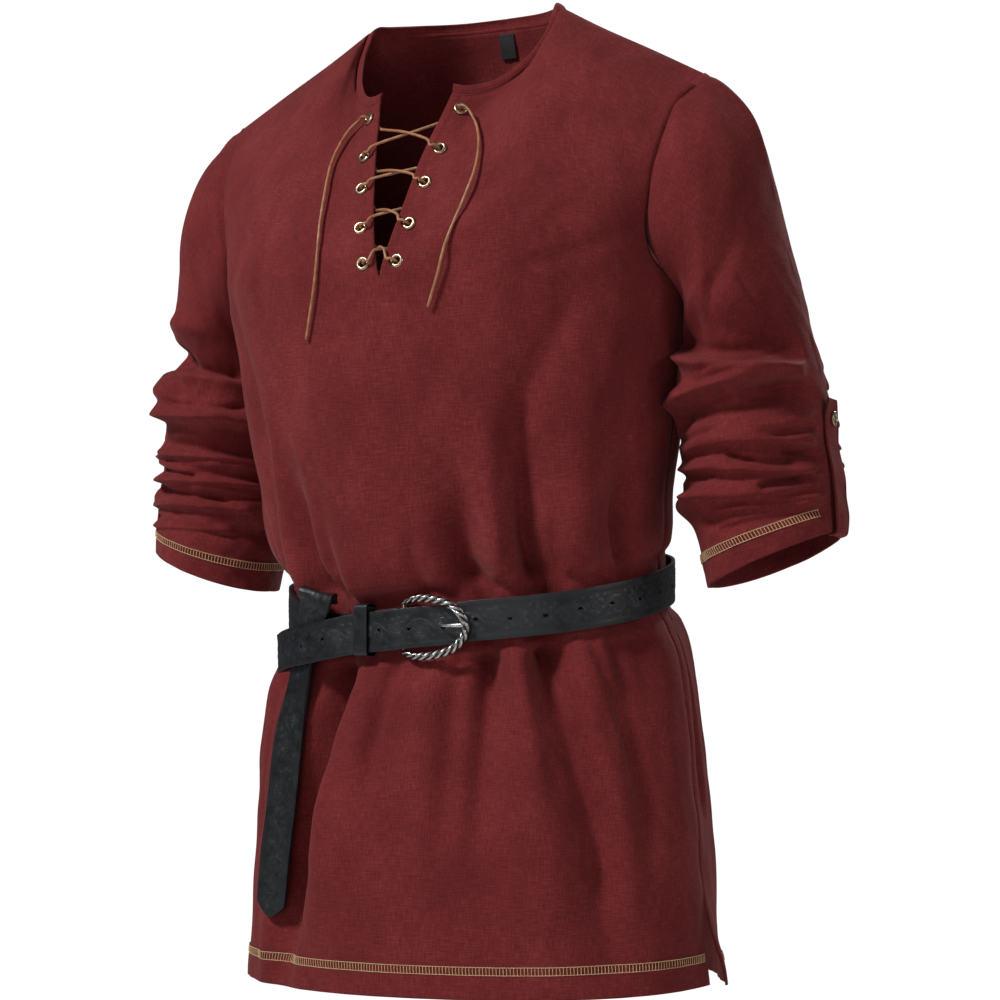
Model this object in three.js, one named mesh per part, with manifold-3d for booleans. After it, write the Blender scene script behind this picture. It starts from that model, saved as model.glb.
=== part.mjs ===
// Renaissance lace-up shirt with a ring belt, worn shape with no wearer.
// Millimetres, +Z up, the front faces -Y, and the wearer's left is +X.
// The origin lies on the centre plane at the height of the shoulder points beside the neck.
import * as THREE from 'three';
import Module from 'manifold-3d';
import { mergeVertices } from 'three/addons/utils/BufferGeometryUtils.js';

const wasm = await Module();
wasm.setup();

// Driving dimensions
const CLOTH = 1.6;
const SEAM_SHIFT = 0.25;
const CHEST_Z = -222;
const HEM_Z = -745;
const BELT_Z = -450.5;
const BELT_TILT = 0.24;
const BELT_DIP = 9.5;
const SWAY = 5;
const SLIT_TOP_Z = -670;
const SLIT_FLARE = 12;
const BAND_WIDTH = 8;
const SLIT_HALF_WIDTH = 31;
const EYELET_INSET = 11;
const EYELET = { hole: 2.5, barrel: 2.95, flange: 5.3, rise: 1.1, behind: 2.3, lift: 0.45, cut: 3.3 };
const LACE_RADIUS = 1.1;
const STRAP = { width: 30, thick: 3.2, hole: 1.9, pitch: 26 };
const TAB = { width: 25, thick: 2 };

const COLOURS = {
  cloth: { color: 0x7a2a2d, roughness: 0.9, metalness: 0 },
  label: { color: 0x0c0c0e, roughness: 0.7, metalness: 0 },
  lace: { color: 0xa86b42, roughness: 0.65, metalness: 0 },
  leather: { color: 0x23262b, roughness: 0.45, metalness: 0 },
  brass: { color: 0xbfa67c, roughness: 0.35, metalness: 1 },
  silver: { color: 0xa9a59f, roughness: 0.35, metalness: 1 },
};

const shirt = new THREE.Group();
const vec = (x, y, z) => new THREE.Vector3(x, y, z);
const mix = (a, b, t) => a + (b - a) * t;
const smooth = (a, b, x) => {
  const t = THREE.MathUtils.clamp((x - a) / (b - a), 0, 1);
  return t * t * (3 - 2 * t);
};
const bump = (x, width) => Math.exp(-((x / width) ** 2));
const angle = THREE.MathUtils.degToRad;

function addMesh(name, geometry, finish) {
  const mesh = new THREE.Mesh(geometry, new THREE.MeshStandardMaterial(COLOURS[finish]));
  mesh.name = name;
  shirt.add(mesh);
  return mesh;
}

// A value read from a table of rows, between the two rows that hold the key
function lookUp(table, key, at, column) {
  const rising = table[table.length - 1][key] > table[0][key];
  const past = table.findIndex((row) => (rising ? row[key] >= at : row[key] <= at));
  if (past === 0) return table[0][column];
  if (past < 0) return table[table.length - 1][column];
  const low = table[past - 1];
  const high = table[past];
  const t = (at - low[key]) / (high[key] - low[key]);
  return mix(low[column], high[column], t);
}

// Body sections by height at the side: half the width, the depth of the front and back
// from the widest place, and where that place lies
const BODY_SECTIONS = [
  { z: -222, half: 190, front: 132, back: 103, side: -5 },
  { z: -272, half: 183, front: 132, back: 107, side: 0 },
  { z: -327, half: 175, front: 127, back: 109, side: 4 },
  { z: -363, half: 169, front: 121, back: 111, side: 7 },
  { z: -404, half: 163, front: 116, back: 112, side: 12 },
  { z: -418, half: 159, front: 113, back: 111, side: 16 },
  { z: -427, half: 153, front: 107, back: 105, side: 17 },
  { z: -468, half: 153, front: 107, back: 105, side: 17 },
  { z: -478, half: 164, front: 114, back: 111, side: 17 },
  { z: -500, half: 173, front: 118, back: 114, side: 17 },
  { z: -564, half: 180, front: 122, back: 117, side: 16 },
  { z: -632, half: 185, front: 125, back: 121, side: 17 },
  { z: -745, half: 193, front: 130, back: 126, side: 18 },
];
const SECTION_SQUARE = 0.92;

// Long upright folds of the body: the angle from the front centre at the top and the bottom,
// the two heights, the width in degrees, and how far it stands out (or in, below zero)
const BODY_FOLDS = [
  { top: -34, bottom: -27, from: -395, to: -452, width: 5.5, rise: -13, fade: 55 },
  { top: 14, bottom: 20, from: -405, to: -452, width: 5, rise: -11, fade: 50 },
  { top: 33, bottom: 37, from: -380, to: -452, width: 6.5, rise: -15, fade: 70 },
  { top: 66, bottom: 74, from: -390, to: -452, width: 5.5, rise: -9, fade: 60 },
  { top: -52, bottom: -50, from: -330, to: -452, width: 6, rise: -6, fade: 60 },
  { top: -10, bottom: -6, from: -340, to: -452, width: 12, rise: 5, fade: 70 },
  { top: 26, bottom: 28, from: -360, to: -452, width: 6, rise: 6, fade: 60 },
  { top: 50, bottom: 52, from: -350, to: -452, width: 9, rise: 5, fade: 70 },
  { top: -24, bottom: -37, from: -490, to: -650, width: 8, rise: -22, fade: 60 },
  { top: -12, bottom: -20, from: -490, to: -640, width: 9, rise: 6, fade: 80 },
  { top: 20, bottom: 18, from: -470, to: -560, width: 7, rise: -9, fade: 70 },
  { top: 37, bottom: 50, from: -470, to: -640, width: 9, rise: -11, fade: 60 },
  { top: 64, bottom: 68, from: -470, to: -560, width: 8, rise: -7, fade: 60 },
  { top: -52, bottom: -52, from: -476, to: -492, width: 18, rise: -9, fade: 14 },
  { top: -3, bottom: -3, from: -474, to: -482, width: 17, rise: -6.5, fade: 12 },
  { top: 144, bottom: 146, from: -360, to: -452, width: 7, rise: -12, fade: 70 },
  { top: 172, bottom: 176, from: -380, to: -452, width: 6, rise: -11, fade: 60 },
  { top: -158, bottom: -156, from: -350, to: -452, width: 7, rise: -13, fade: 70 },
  { top: -124, bottom: -126, from: -390, to: -452, width: 6, rise: -9, fade: 60 },
  { top: 112, bottom: 108, from: -390, to: -452, width: 6, rise: -8, fade: 60 },
  { top: 150, bottom: 142, from: -452, to: -580, width: 7, rise: -13, fade: 80 },
  { top: -176, bottom: -182, from: -452, to: -560, width: 7, rise: -12, fade: 80 },
  { top: -146, bottom: -136, from: -452, to: -600, width: 7, rise: -13, fade: 80 },
];

// How far a body point stands off its plain section, in millimetres
function bodyRelief(degrees, z) {
  let rise = 0;
  for (const fold of BODY_FOLDS) {
    const along = THREE.MathUtils.clamp((z - fold.from) / (fold.to - fold.from), 0, 1);
    let away = degrees - mix(fold.top, fold.bottom, along);
    away -= 360 * Math.round(away / 360);
    const past = Math.max(z - fold.from, fold.to - z, 0);
    rise += fold.rise * bump(away, fold.width) * bump(past, fold.fade);
  }
  const strapZone = smooth(34, 23, Math.abs(z - BELT_Z));
  return mix(rise, Math.min(rise * 0.35, 0), strapZone);
}

// A point of the body: angle from the front centre in degrees, and the height at the side.
// The rows near the belt tilt with it, lower in front.
function bodyPoint(degrees, z, out = bodyRelief(degrees, z)) {
  const a = angle(degrees);
  const half = lookUp(BODY_SECTIONS, 'z', z, 'half');
  const side = lookUp(BODY_SECTIONS, 'z', z, 'side');
  const depth = lookUp(BODY_SECTIONS, 'z', z, Math.cos(a) > 0 ? 'front' : 'back');
  const sx = Math.sign(Math.sin(a)) * Math.abs(Math.sin(a)) ** SECTION_SQUARE;
  const sy = Math.sign(Math.cos(a)) * Math.abs(Math.cos(a)) ** SECTION_SQUARE;
  const x = sx * (half + out) + SWAY * smooth(-380, -450, z);
  const y = side - sy * (depth + out);
  const tilt = smooth(-262, -425, z) * (1 - smooth(-480, -650, z));
  const dip = BELT_DIP * bump(degrees + 27 - 360 * Math.round((degrees + 27) / 360), 26);
  const drop = 7 * Math.cos(a) * smooth(-600, HEM_Z, z);
  return vec(x, y, z + (BELT_TILT * y - dip) * tilt - drop);
}

// The neck, shoulder and armhole lines, as smooth curves through a few points
const slitEdge = new THREE.CatmullRomCurve3([
  vec(0.6, -136.5, -222), vec(2.6, -136.5, -213), vec(7.7, -131, -190),
  vec(12, -124, -170), vec(19.4, -108, -130), vec(SLIT_HALF_WIDTH, -80, -77),
]);
const frontNeck = new THREE.CatmullRomCurve3([
  vec(SLIT_HALF_WIDTH, -80, -77), vec(40, -76, -78), vec(58, -60, -72),
  vec(74, -40, -54), vec(84, -18, -28), vec(85, 0, 0),
]);
const backNeck = new THREE.CatmullRomCurve3([
  vec(0, 77, 11), vec(34, 68, 9), vec(63, 43, 5), vec(79, 20, 2), vec(85, 0, 0),
]);
const shoulderSeam = new THREE.CatmullRomCurve3([
  vec(85, 0, 0), vec(118, 0, -19), vec(160, 0, -41), vec(206, 0, -66),
]);
const frontArmhole = new THREE.CatmullRomCurve3([
  bodyPoint(90, CHEST_Z), vec(181, -42, -209), vec(179, -57, -188),
  vec(183, -60, -155), vec(188, -52, -122), vec(194, -29, -88), vec(206, 0, -66),
]);
const backArmhole = new THREE.CatmullRomCurve3([
  bodyPoint(90, CHEST_Z), vec(183, 40, -210), vec(183, 66, -188),
  vec(185, 74, -155), vec(189, 62, -120), vec(195, 33, -88), vec(206, 0, -66),
]);

// Columns of a half panel, and how many of them end at the neck
const FRONT_COLUMNS = 15;
const BACK_COLUMNS = 12;
const FRONT_NECK_COLUMNS = 8;
const BACK_NECK_COLUMNS = 5;

// A panel half above the chest row, from the centre (u = 0) to the armhole (u = 1) and from
// the chest row (v = 0) to the neck and shoulder (v = 1). A cubic between the two rows gives
// the roll of the chest and shoulder, and what it lacks at the sides is added evenly across.
function upperHalf({ centre, neck, armhole, neckShare, facing, bulge }) {
  const chestAngle = (u) => (facing < 0 ? 90 * u : 180 - 90 * u);
  const top = (u) => (u < neckShare
    ? neck.getPointAt(u / neckShare)
    : shoulderSeam.getPointAt((u - neckShare) / (1 - neckShare)));
  const core = (u, v) => {
    const low = bodyPoint(chestAngle(u), CHEST_Z);
    const high = top(u);
    const onShoulder = smooth(0, 1, u / neckShare);
    const rise = vec(0, -facing * 24, 120);
    const over = vec(0, -facing * mix(40, bulge, onShoulder), mix(60, -14, onShoulder));
    const v2 = v * v;
    const v3 = v2 * v;
    return low.multiplyScalar(2 * v3 - 3 * v2 + 1)
      .addScaledVector(rise, v3 - 2 * v2 + v)
      .addScaledVector(high, 3 * v2 - 2 * v3)
      .addScaledVector(over, v3 - v2);
  };
  return (u, v) => {
    const point = core(u, v);
    const inner = centre(v).sub(core(0, v)).multiplyScalar((1 - u) ** 2);
    const outer = armhole.getPointAt(v).sub(core(1, v)).multiplyScalar(u);
    return point.add(inner).add(outer);
  };
}
const backCentre = new THREE.CatmullRomCurve3([
  bodyPoint(180, CHEST_Z), vec(0, 101, -160), vec(0, 98, -90), vec(0, 90, -30), vec(0, 77, 11),
]);
const frontHalf = upperHalf({
  centre: (v) => slitEdge.getPointAt(v),
  neck: frontNeck,
  armhole: frontArmhole,
  neckShare: FRONT_NECK_COLUMNS / FRONT_COLUMNS,
  facing: -1,
  bulge: 105,
});
const backHalf = upperHalf({
  centre: (v) => backCentre.getPointAt(v),
  neck: backNeck,
  armhole: backArmhole,
  neckShare: BACK_NECK_COLUMNS / BACK_COLUMNS,
  facing: 1,
  bulge: 120,
});

// All cloth faces share one list of points, so that neighbours keep the same seam line
const points = [];
const pointNumbers = new Map();
const faces = [];
function pointNumber(p) {
  const key = [p.x, p.y, p.z].map((n) => Math.round(n * 500)).join();
  if (!pointNumbers.has(key)) {
    pointNumbers.set(key, points.length);
    points.push(p.clone());
  }
  return pointNumbers.get(key);
}
function addGrid(piece, rows, outwards) {
  for (let r = 0; r + 1 < rows.length; r++) {
    for (let c = 0; c + 1 < rows[r].length; c++) {
      const around = [rows[r][c], rows[r][c + 1], rows[r + 1][c + 1], rows[r + 1][c]];
      const corners = around.map(pointNumber);
      if (!outwards) corners.reverse();
      faces.push({ piece, corners });
    }
  }
}
const mirror = (p) => vec(-p.x, p.y, p.z);

// Columns of a half panel crowd towards the folds
function columns(count, crowds, from, to) {
  const density = (d) => 1 + crowds.reduce((sum, fold) => sum + 1.6 * bump(d - fold, 7), 0);
  const steps = 240;
  const sums = [0];
  for (let i = 0; i < steps; i++) sums.push(sums[i] + density(mix(from, to, (i + 0.5) / steps)));
  return Array.from({ length: count + 1 }, (_, k) => {
    const wanted = (k / count) * sums[steps];
    const past = Math.max(1, sums.findIndex((s) => s >= wanted - 1e-9));
    const t = (wanted - sums[past - 1]) / (sums[past] - sums[past - 1]);
    return mix(from, to, (past - 1 + t) / steps);
  });
}
const FRONT_LEFT_COLUMNS = columns(FRONT_COLUMNS, [19, 37, 50, 69], 0, 90);
const FRONT_RIGHT_COLUMNS = columns(FRONT_COLUMNS, [-26, -38], 0, -90);
const BACK_LEFT_COLUMNS = columns(BACK_COLUMNS, [176, 146], 180, 90);
const BACK_RIGHT_COLUMNS = columns(BACK_COLUMNS, [-157, -138], -180, -90);
const UPPER_ROWS = 11;
const BODY_ROWS = [
  -222, -256, -290, -322, -352, -380, -403, -417, -427, -448, -468,
  -478, -494, -524, -566, -616, -670, -708, -745,
];

// Lower body: one sheet for the front and one for the back, parted at the side slits,
// where the back's corner flares out past the front's
function lowerRow(angles, z, isBack) {
  const open = smooth(SLIT_TOP_Z, HEM_Z, z);
  return angles.map((degrees) => {
    const p = bodyPoint(degrees, z);
    const near = bump(Math.abs(degrees) - 90, 9);
    if (isBack) p.x += Math.sign(p.x) * SLIT_FLARE * open * near;
    const atSlit = Math.abs(Math.abs(degrees) - 90) < 1e-6 && open > 0;
    if (atSlit) p.y += (isBack ? 1 : -1) * (0.3 + 1.5 * open);
    return p;
  });
}
const frontAngles = [...FRONT_RIGHT_COLUMNS.slice(1).reverse(), ...FRONT_LEFT_COLUMNS];
const backAngles = [...BACK_LEFT_COLUMNS.slice().reverse(), ...BACK_RIGHT_COLUMNS.slice(1)];
addGrid('front_panel', BODY_ROWS.map((z) => lowerRow(frontAngles, z, false)), false);
addGrid('back_panel', BODY_ROWS.map((z) => lowerRow(backAngles, z, true)), false);

// Upper body: the columns carry on from the chest row
function upperRows(half, angles) {
  const ends = [angles[0], angles[angles.length - 1]];
  return Array.from({ length: UPPER_ROWS + 1 }, (_, r) => angles.map((degrees, c) => {
    const byAngle = (degrees - ends[0]) / (ends[1] - ends[0]);
    const even = c / (angles.length - 1);
    const v = r / UPPER_ROWS;
    if (r === 0) return half(byAngle, 0);
    const keyed = mix(byAngle, even, smooth(0, 0.5, v));
    return half(keyed, v);
  }));
}
const leftFront = upperRows(frontHalf, FRONT_LEFT_COLUMNS);
const rightFront = upperRows(frontHalf, FRONT_RIGHT_COLUMNS).map((row) => row.map(mirror));
const leftBack = upperRows(backHalf, BACK_LEFT_COLUMNS);
const rightBack = upperRows(backHalf, BACK_RIGHT_COLUMNS).map((row) => row.map(mirror));
// The chest row is the lower body's own first row
leftFront[0] = lowerRow(FRONT_LEFT_COLUMNS, CHEST_Z, false);
rightFront[0] = lowerRow(FRONT_RIGHT_COLUMNS, CHEST_Z, false);
leftBack[0] = lowerRow(BACK_LEFT_COLUMNS, CHEST_Z, true);
rightBack[0] = lowerRow(BACK_RIGHT_COLUMNS, CHEST_Z, true);
addGrid('front_panel', leftFront, true);
addGrid('front_panel', rightFront, false);
addGrid('back_panel', leftBack, false);
addGrid('back_panel', rightBack, true);

// Sleeve rings below the cap: height of the outer and inner side, centre, half width and depth
const SLEEVE_SECTIONS = [
  { outerZ: -172, innerZ: -248, x: 221, y: 14, halfX: 33, halfY: 62 },
  { outerZ: -212, innerZ: -272, x: 222, y: 20, halfX: 41, halfY: 64 },
  { outerZ: -250, innerZ: -298, x: 224, y: 24, halfX: 48, halfY: 66 },
  { outerZ: -285, innerZ: -325, x: 227, y: 27, halfX: 54, halfY: 66 },
  { outerZ: -320, innerZ: -350, x: 231, y: 29, halfX: 56, halfY: 66 },
  { outerZ: -350, innerZ: -380, x: 235, y: 30, halfX: 56, halfY: 63 },
  { outerZ: -376, innerZ: -408, x: 241, y: 31, halfX: 53, halfY: 57 },
  { outerZ: -402, innerZ: -442, x: 246, y: 31, halfX: 50, halfY: 51 },
];
const CAP_ROWS = 5;
const SLEEVE_ROWS = 20;
const SLEEVE_CLEAR = 2.5;

// Folds round a sleeve: from one angle to another (0 outside, 90 front, 180 inside), the
// height at both ends and the middle, the half width, and the rise
const SLEEVE_FOLDS = {
  left: [
    { from: 22, to: 150, start: -276, middle: -288, end: -266, width: 9, rise: 7 },
    { from: 22, to: 140, start: -258, middle: -262, end: -250, width: 15, rise: -9 },
    { from: 25, to: 165, start: -300, middle: -318, end: -322, width: 8, rise: -7 },
    { from: 60, to: 185, start: -306, middle: -316, end: -312, width: 9, rise: 6 },
    { from: 20, to: 175, start: -340, middle: -349, end: -352, width: 8, rise: -6 },
    { from: 20, to: 170, start: -356, middle: -368, end: -374, width: 8, rise: -5 },
    { from: 100, to: 200, start: -378, middle: -386, end: -388, width: 9, rise: 9 },
    { from: 20, to: 150, start: -378, middle: -392, end: -398, width: 8, rise: -7 },
    { from: 95, to: 170, start: -170, middle: -215, end: -245, width: 16, rise: 6 },
    { from: 40, to: 100, start: -150, middle: -205, end: -235, width: 18, rise: -6 },
    { from: 200, to: 338, start: -262, middle: -284, end: -270, width: 9, rise: 7 },
    { from: 195, to: 340, start: -318, middle: -310, end: -300, width: 8, rise: -7 },
    { from: 190, to: 338, start: -350, middle: -346, end: -336, width: 8, rise: -6 },
    { from: 190, to: 338, start: -384, middle: -380, end: -364, width: 8, rise: -6 },
  ],
  right: [
    { from: -25, to: 80, start: -262, middle: -270, end: -285, width: 9, rise: 10 },
    { from: -25, to: 95, start: -240, middle: -246, end: -262, width: 8, rise: -8 },
    { from: 50, to: 160, start: -196, middle: -214, end: -220, width: 8, rise: -7 },
    { from: 35, to: 140, start: -218, middle: -230, end: -232, width: 8, rise: 6 },
    { from: 20, to: 130, start: -292, middle: -305, end: -300, width: 11, rise: 7 },
    { from: 20, to: 165, start: -308, middle: -324, end: -330, width: 8, rise: -7 },
    { from: 20, to: 100, start: -336, middle: -340, end: -344, width: 8, rise: -4 },
    { from: 80, to: 190, start: -346, middle: -350, end: -354, width: 8, rise: -7 },
    { from: 20, to: 150, start: -364, middle: -374, end: -376, width: 8, rise: -6 },
    { from: 60, to: 190, start: -384, middle: -392, end: -394, width: 8, rise: -6 },
    { from: 200, to: 335, start: -256, middle: -266, end: -250, width: 9, rise: 7 },
    { from: 195, to: 338, start: -316, middle: -308, end: -298, width: 8, rise: -7 },
    { from: 190, to: 338, start: -350, middle: -342, end: -334, width: 8, rise: -6 },
    { from: 190, to: 338, start: -384, middle: -378, end: -364, width: 8, rise: -6 },
  ],
};
// How much lower or higher each sleeve hangs at the hem
const HEM_SIDES = { left: -4, right: 2 };

function sleeveRelief(side, degrees, z) {
  let rise = 0;
  for (const fold of SLEEVE_FOLDS[side]) {
    const turn = degrees > 340 && fold.from < 0 ? degrees - 360 : degrees;
    const t = (turn - fold.from) / (fold.to - fold.from);
    if (t <= 0 || t >= 1) continue;
    const line = (1 - t) ** 2 * fold.start + t * t * fold.end
      + 2 * t * (1 - t) * (2 * fold.middle - (fold.start + fold.end) / 2);
    rise += fold.rise * bump(z - line, fold.width) * smooth(0, 0.22, t) * smooth(0, 0.22, 1 - t);
  }
  return rise;
}

// Half the body's width at a given place, to press the sleeve's inner side flat against it
function bodyReach(y, z) {
  const side = lookUp(BODY_SECTIONS, 'z', z, 'side');
  const depth = lookUp(BODY_SECTIONS, 'z', z, y < side ? 'front' : 'back');
  const share = Math.min(Math.abs(y - side) / depth, 1) ** (1 / SECTION_SQUARE);
  return lookUp(BODY_SECTIONS, 'z', z, 'half') * Math.sqrt(1 - share * share) ** SECTION_SQUARE;
}

function sleevePoint(side, degrees, row, off = 0) {
  const a = angle(degrees);
  const last = SLEEVE_SECTIONS.length - 1;
  const low = SLEEVE_SECTIONS[Math.min(Math.floor(row), last - 1)];
  const high = SLEEVE_SECTIONS[Math.min(Math.floor(row), last - 1) + 1];
  const t = row - Math.min(Math.floor(row), last - 1);
  const at = (column) => mix(low[column], high[column], t);
  const middle = (at('outerZ') + at('innerZ')) / 2;
  const slant = (at('outerZ') - at('innerZ')) / 2;
  const hemSide = HEM_SIDES[side] * smooth(4, last, row);
  const sag = (-5 * Math.max(Math.sin(a), 0) + hemSide) * smooth(3, last, row);
  const z = middle + slant * Math.cos(a) + sag;
  const hemFlat = 1 - 0.75 * smooth(last - 0.7, last - 0.2, row);
  const seamFlat = smooth(-0.2, 0.8, row);
  const out = off + sleeveRelief(side, degrees, z) * hemFlat * seamFlat;
  const x = at('x') + Math.cos(a) * (at('halfX') + out);
  const p = vec(x, at('y') - Math.sin(a) * (at('halfY') + out), z);
  const reach = bodyReach(p.y, z) + SLEEVE_CLEAR * smooth(-230, -275, z);
  if (p.x < reach) p.x = reach;
  return p;
}

// The way the sleeve leaves the armhole: outwards at the top and front, down at the underarm
function capDirection(a) {
  const across = 0.725 + 0.25 * Math.cos(a) - 0.125 * Math.cos(2 * a);
  const down = -0.5325 + 0.215 * Math.cos(a) - 0.1825 * Math.cos(2 * a);
  return vec(across, -0.35 * Math.sin(a), down).normalize();
}

// Sleeve cap: a cubic from each armhole point out and down to the first ring
function sleeveRows(side) {
  const loop = [];
  for (let r = UPPER_ROWS; r >= 0; r--) loop.push(leftFront[r][FRONT_COLUMNS]);
  for (let r = 1; r <= UPPER_ROWS; r++) loop.push(leftBack[r][BACK_COLUMNS]);
  const around = loop.length - 1;
  const turn = (c) => (360 * c) / around;
  const rows = [loop];
  for (let r = 1; r < CAP_ROWS; r++) {
    const t = r / CAP_ROWS;
    rows.push(loop.map((start, c) => {
      const a = angle(turn(c));
      const end = sleevePoint(side, turn(c), 0);
      const next = sleevePoint(side, turn(c), 0.5);
      const span = start.distanceTo(end);
      const leave = capDirection(a).multiplyScalar(span * (1 + 0.45 * Math.max(Math.cos(a), 0)));
      const arrive = next.sub(end).normalize().multiplyScalar(span);
      const t2 = t * t;
      const t3 = t2 * t;
      return start.clone().multiplyScalar(2 * t3 - 3 * t2 + 1)
        .addScaledVector(leave, t3 - 2 * t2 + t)
        .addScaledVector(end, 3 * t2 - 2 * t3)
        .addScaledVector(arrive, t3 - t2);
    }));
  }
  const last = SLEEVE_SECTIONS.length - 1;
  for (let r = 0; r <= SLEEVE_ROWS; r++) {
    rows.push(loop.map((_, c) => sleevePoint(side, turn(c), (last * r) / SLEEVE_ROWS)));
  }
  return side === 'left' ? rows : rows.map((row) => row.map(mirror));
}
addGrid('sleeve_left', sleeveRows('left'), true);
addGrid('sleeve_right', sleeveRows('right'), false);

// Neckband: a narrow strip that carries the panels on into the neck opening
function bandTop(p) {
  const front = smooth(0, -78, p.y);
  const back = smooth(0, 70, p.y);
  const side = 1 - front - back;
  const lean = Math.sign(p.x) * -(0.7 * side + 0.35 * front * smooth(20, 60, Math.abs(p.x)));
  const upwards = vec(lean, 0.35 * front - 0.28 * back, 0.55 + 0.4 * (front + back)).normalize();
  return p.clone().addScaledVector(upwards, BAND_WIDTH);
}
const neckFront = leftFront[UPPER_ROWS].slice(0, FRONT_NECK_COLUMNS + 1);
const neckBack = leftBack[UPPER_ROWS].slice(0, BACK_NECK_COLUMNS + 1);
const neckLine = [
  ...neckFront, ...neckBack.slice(0, -1).reverse(),
  ...neckBack.slice(1).map(mirror), ...neckFront.slice(0, -1).reverse().map(mirror),
];
addGrid('neckband', [neckLine, neckLine.map(bandTop)], true);

// Outward normals of the whole shirt, shared across the seams
const normals = points.map(() => vec(0, 0, 0));
for (const face of faces) {
  const [a, b, c, d] = face.corners.map((n) => points[n]);
  const across = c.clone().sub(a);
  face.normal = across.cross(d.clone().sub(b));
  for (const n of face.corners) normals[n].add(face.normal);
}
normals.forEach((n) => n.normalize());

// A piece's faces become a closed wall: the outer sheet, the same sheet moved inwards by the
// cloth's thickness, and a rim along every free edge. Seam edges draw back a little.
function clothWall(piece, thickness) {
  const own = faces.filter((face) => face.piece === piece);
  const others = new Set(faces.filter((f) => f.piece !== piece).flatMap((f) => f.corners));
  const edgeUse = new Map();
  for (const { corners, normal } of own) {
    corners.forEach((n, i) => {
      const m = corners[(i + 1) % 4];
      if (n !== m) edgeUse.set(`${n}>${m}`, { n, m, normal });
    });
  }
  const rim = [...edgeUse.values()].filter(({ n, m }) => !edgeUse.has(`${m}>${n}`));
  const pull = new Map();
  for (const { n, m, normal } of rim) {
    const inwards = normal.clone().cross(points[m].clone().sub(points[n])).normalize();
    for (const end of [n, m]) {
      if (!pull.has(end)) pull.set(end, vec(0, 0, 0));
      pull.get(end).add(inwards);
    }
  }
  const numbers = new Map();
  const outer = [];
  const inner = [];
  for (const n of new Set(own.flatMap((face) => face.corners))) {
    const p = points[n].clone();
    if (others.has(n) && pull.has(n)) {
      const inwards = pull.get(n);
      inwards.addScaledVector(normals[n], -inwards.dot(normals[n]));
      p.addScaledVector(inwards.normalize(), SEAM_SHIFT);
    }
    numbers.set(n, outer.length);
    outer.push(p);
    inner.push(p.clone().addScaledVector(normals[n], -thickness));
  }
  const count = outer.length;
  const triangles = [];
  const addQuad = (a, b, c, d) => triangles.push(a, b, c, a, c, d);
  for (const { corners } of own) {
    const [a, b, c, d] = corners.map((n) => numbers.get(n));
    addQuad(a, b, c, d);
    addQuad(c + count, b + count, a + count, d + count);
  }
  for (const { n, m } of rim) {
    const a = numbers.get(n);
    const b = numbers.get(m);
    addQuad(b, a, a + count, b + count);
  }
  return meshGeometry([...outer, ...inner], triangles);
}

function meshGeometry(list, triangles) {
  const geometry = new THREE.BufferGeometry();
  const numbers = list.flatMap((p) => [p.x, p.y, p.z]);
  geometry.setAttribute('position', new THREE.Float32BufferAttribute(numbers, 3));
  const kept = [];
  for (let i = 0; i < triangles.length; i += 3) {
    const [a, b, c] = triangles.slice(i, i + 3);
    if (a !== b && b !== c && c !== a) kept.push(a, b, c);
  }
  geometry.setIndex(kept);
  return geometry;
}

// Booleans
function solid(geometry) {
  const bare = geometry.clone();
  bare.deleteAttribute('normal');
  bare.deleteAttribute('uv');
  const merged = mergeVertices(bare, 1e-4);
  return new wasm.Manifold(new wasm.Mesh({
    numProp: 3,
    vertProperties: new Float32Array(merged.attributes.position.array),
    triVerts: new Uint32Array(merged.index.array),
  }));
}
function fromSolid(body) {
  const { vertProperties, triVerts } = body.getMesh();
  const geometry = new THREE.BufferGeometry();
  geometry.setAttribute('position', new THREE.BufferAttribute(new Float32Array(vertProperties), 3));
  geometry.setIndex(new THREE.BufferAttribute(new Uint32Array(triVerts), 1));
  return geometry;
}

// A place on the chest by its distance from the centre and its height, with the frame there:
// towards the slit, up the cloth, and out of the cloth
function chestPlace(x, z) {
  const reach = Math.abs(x);
  let u = 0.1;
  let v = (z - CHEST_Z) / 145;
  const h = 1e-3;
  for (let i = 0; i < 14; i++) {
    const p = frontHalf(u, v);
    const du = frontHalf(u + h, v).sub(p).divideScalar(h);
    const below = Math.min(v, 1 - h);
    const dv = frontHalf(u, below + h).sub(frontHalf(u, below)).divideScalar(h);
    const det = du.x * dv.z - dv.x * du.z;
    const ex = reach - p.x;
    const ez = z - p.z;
    u = THREE.MathUtils.clamp(u + (ex * dv.z - dv.x * ez) / det, 0, 1 - h);
    v = THREE.MathUtils.clamp(v + (du.x * ez - ex * du.z) / det, 0, 1);
  }
  const at = frontHalf(u, v);
  const along = frontHalf(u + h, v).sub(at);
  const up = frontHalf(u, Math.min(v, 1 - h) + h).sub(frontHalf(u, Math.min(v, 1 - h)));
  const out = along.clone().cross(up).normalize();
  const inwards = along.normalize().negate();
  if (x < 0) [at, out, inwards].forEach((w) => w.setX(-w.x));
  return { at, out, inwards, up: up.normalize() };
}
const slitHalfWidth = (z) => {
  let low = 0;
  let high = 1;
  for (let i = 0; i < 24; i++) {
    const t = (low + high) / 2;
    if (slitEdge.getPointAt(t).z < z) low = t;
    else high = t;
  }
  return slitEdge.getPointAt(low).x;
};

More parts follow.
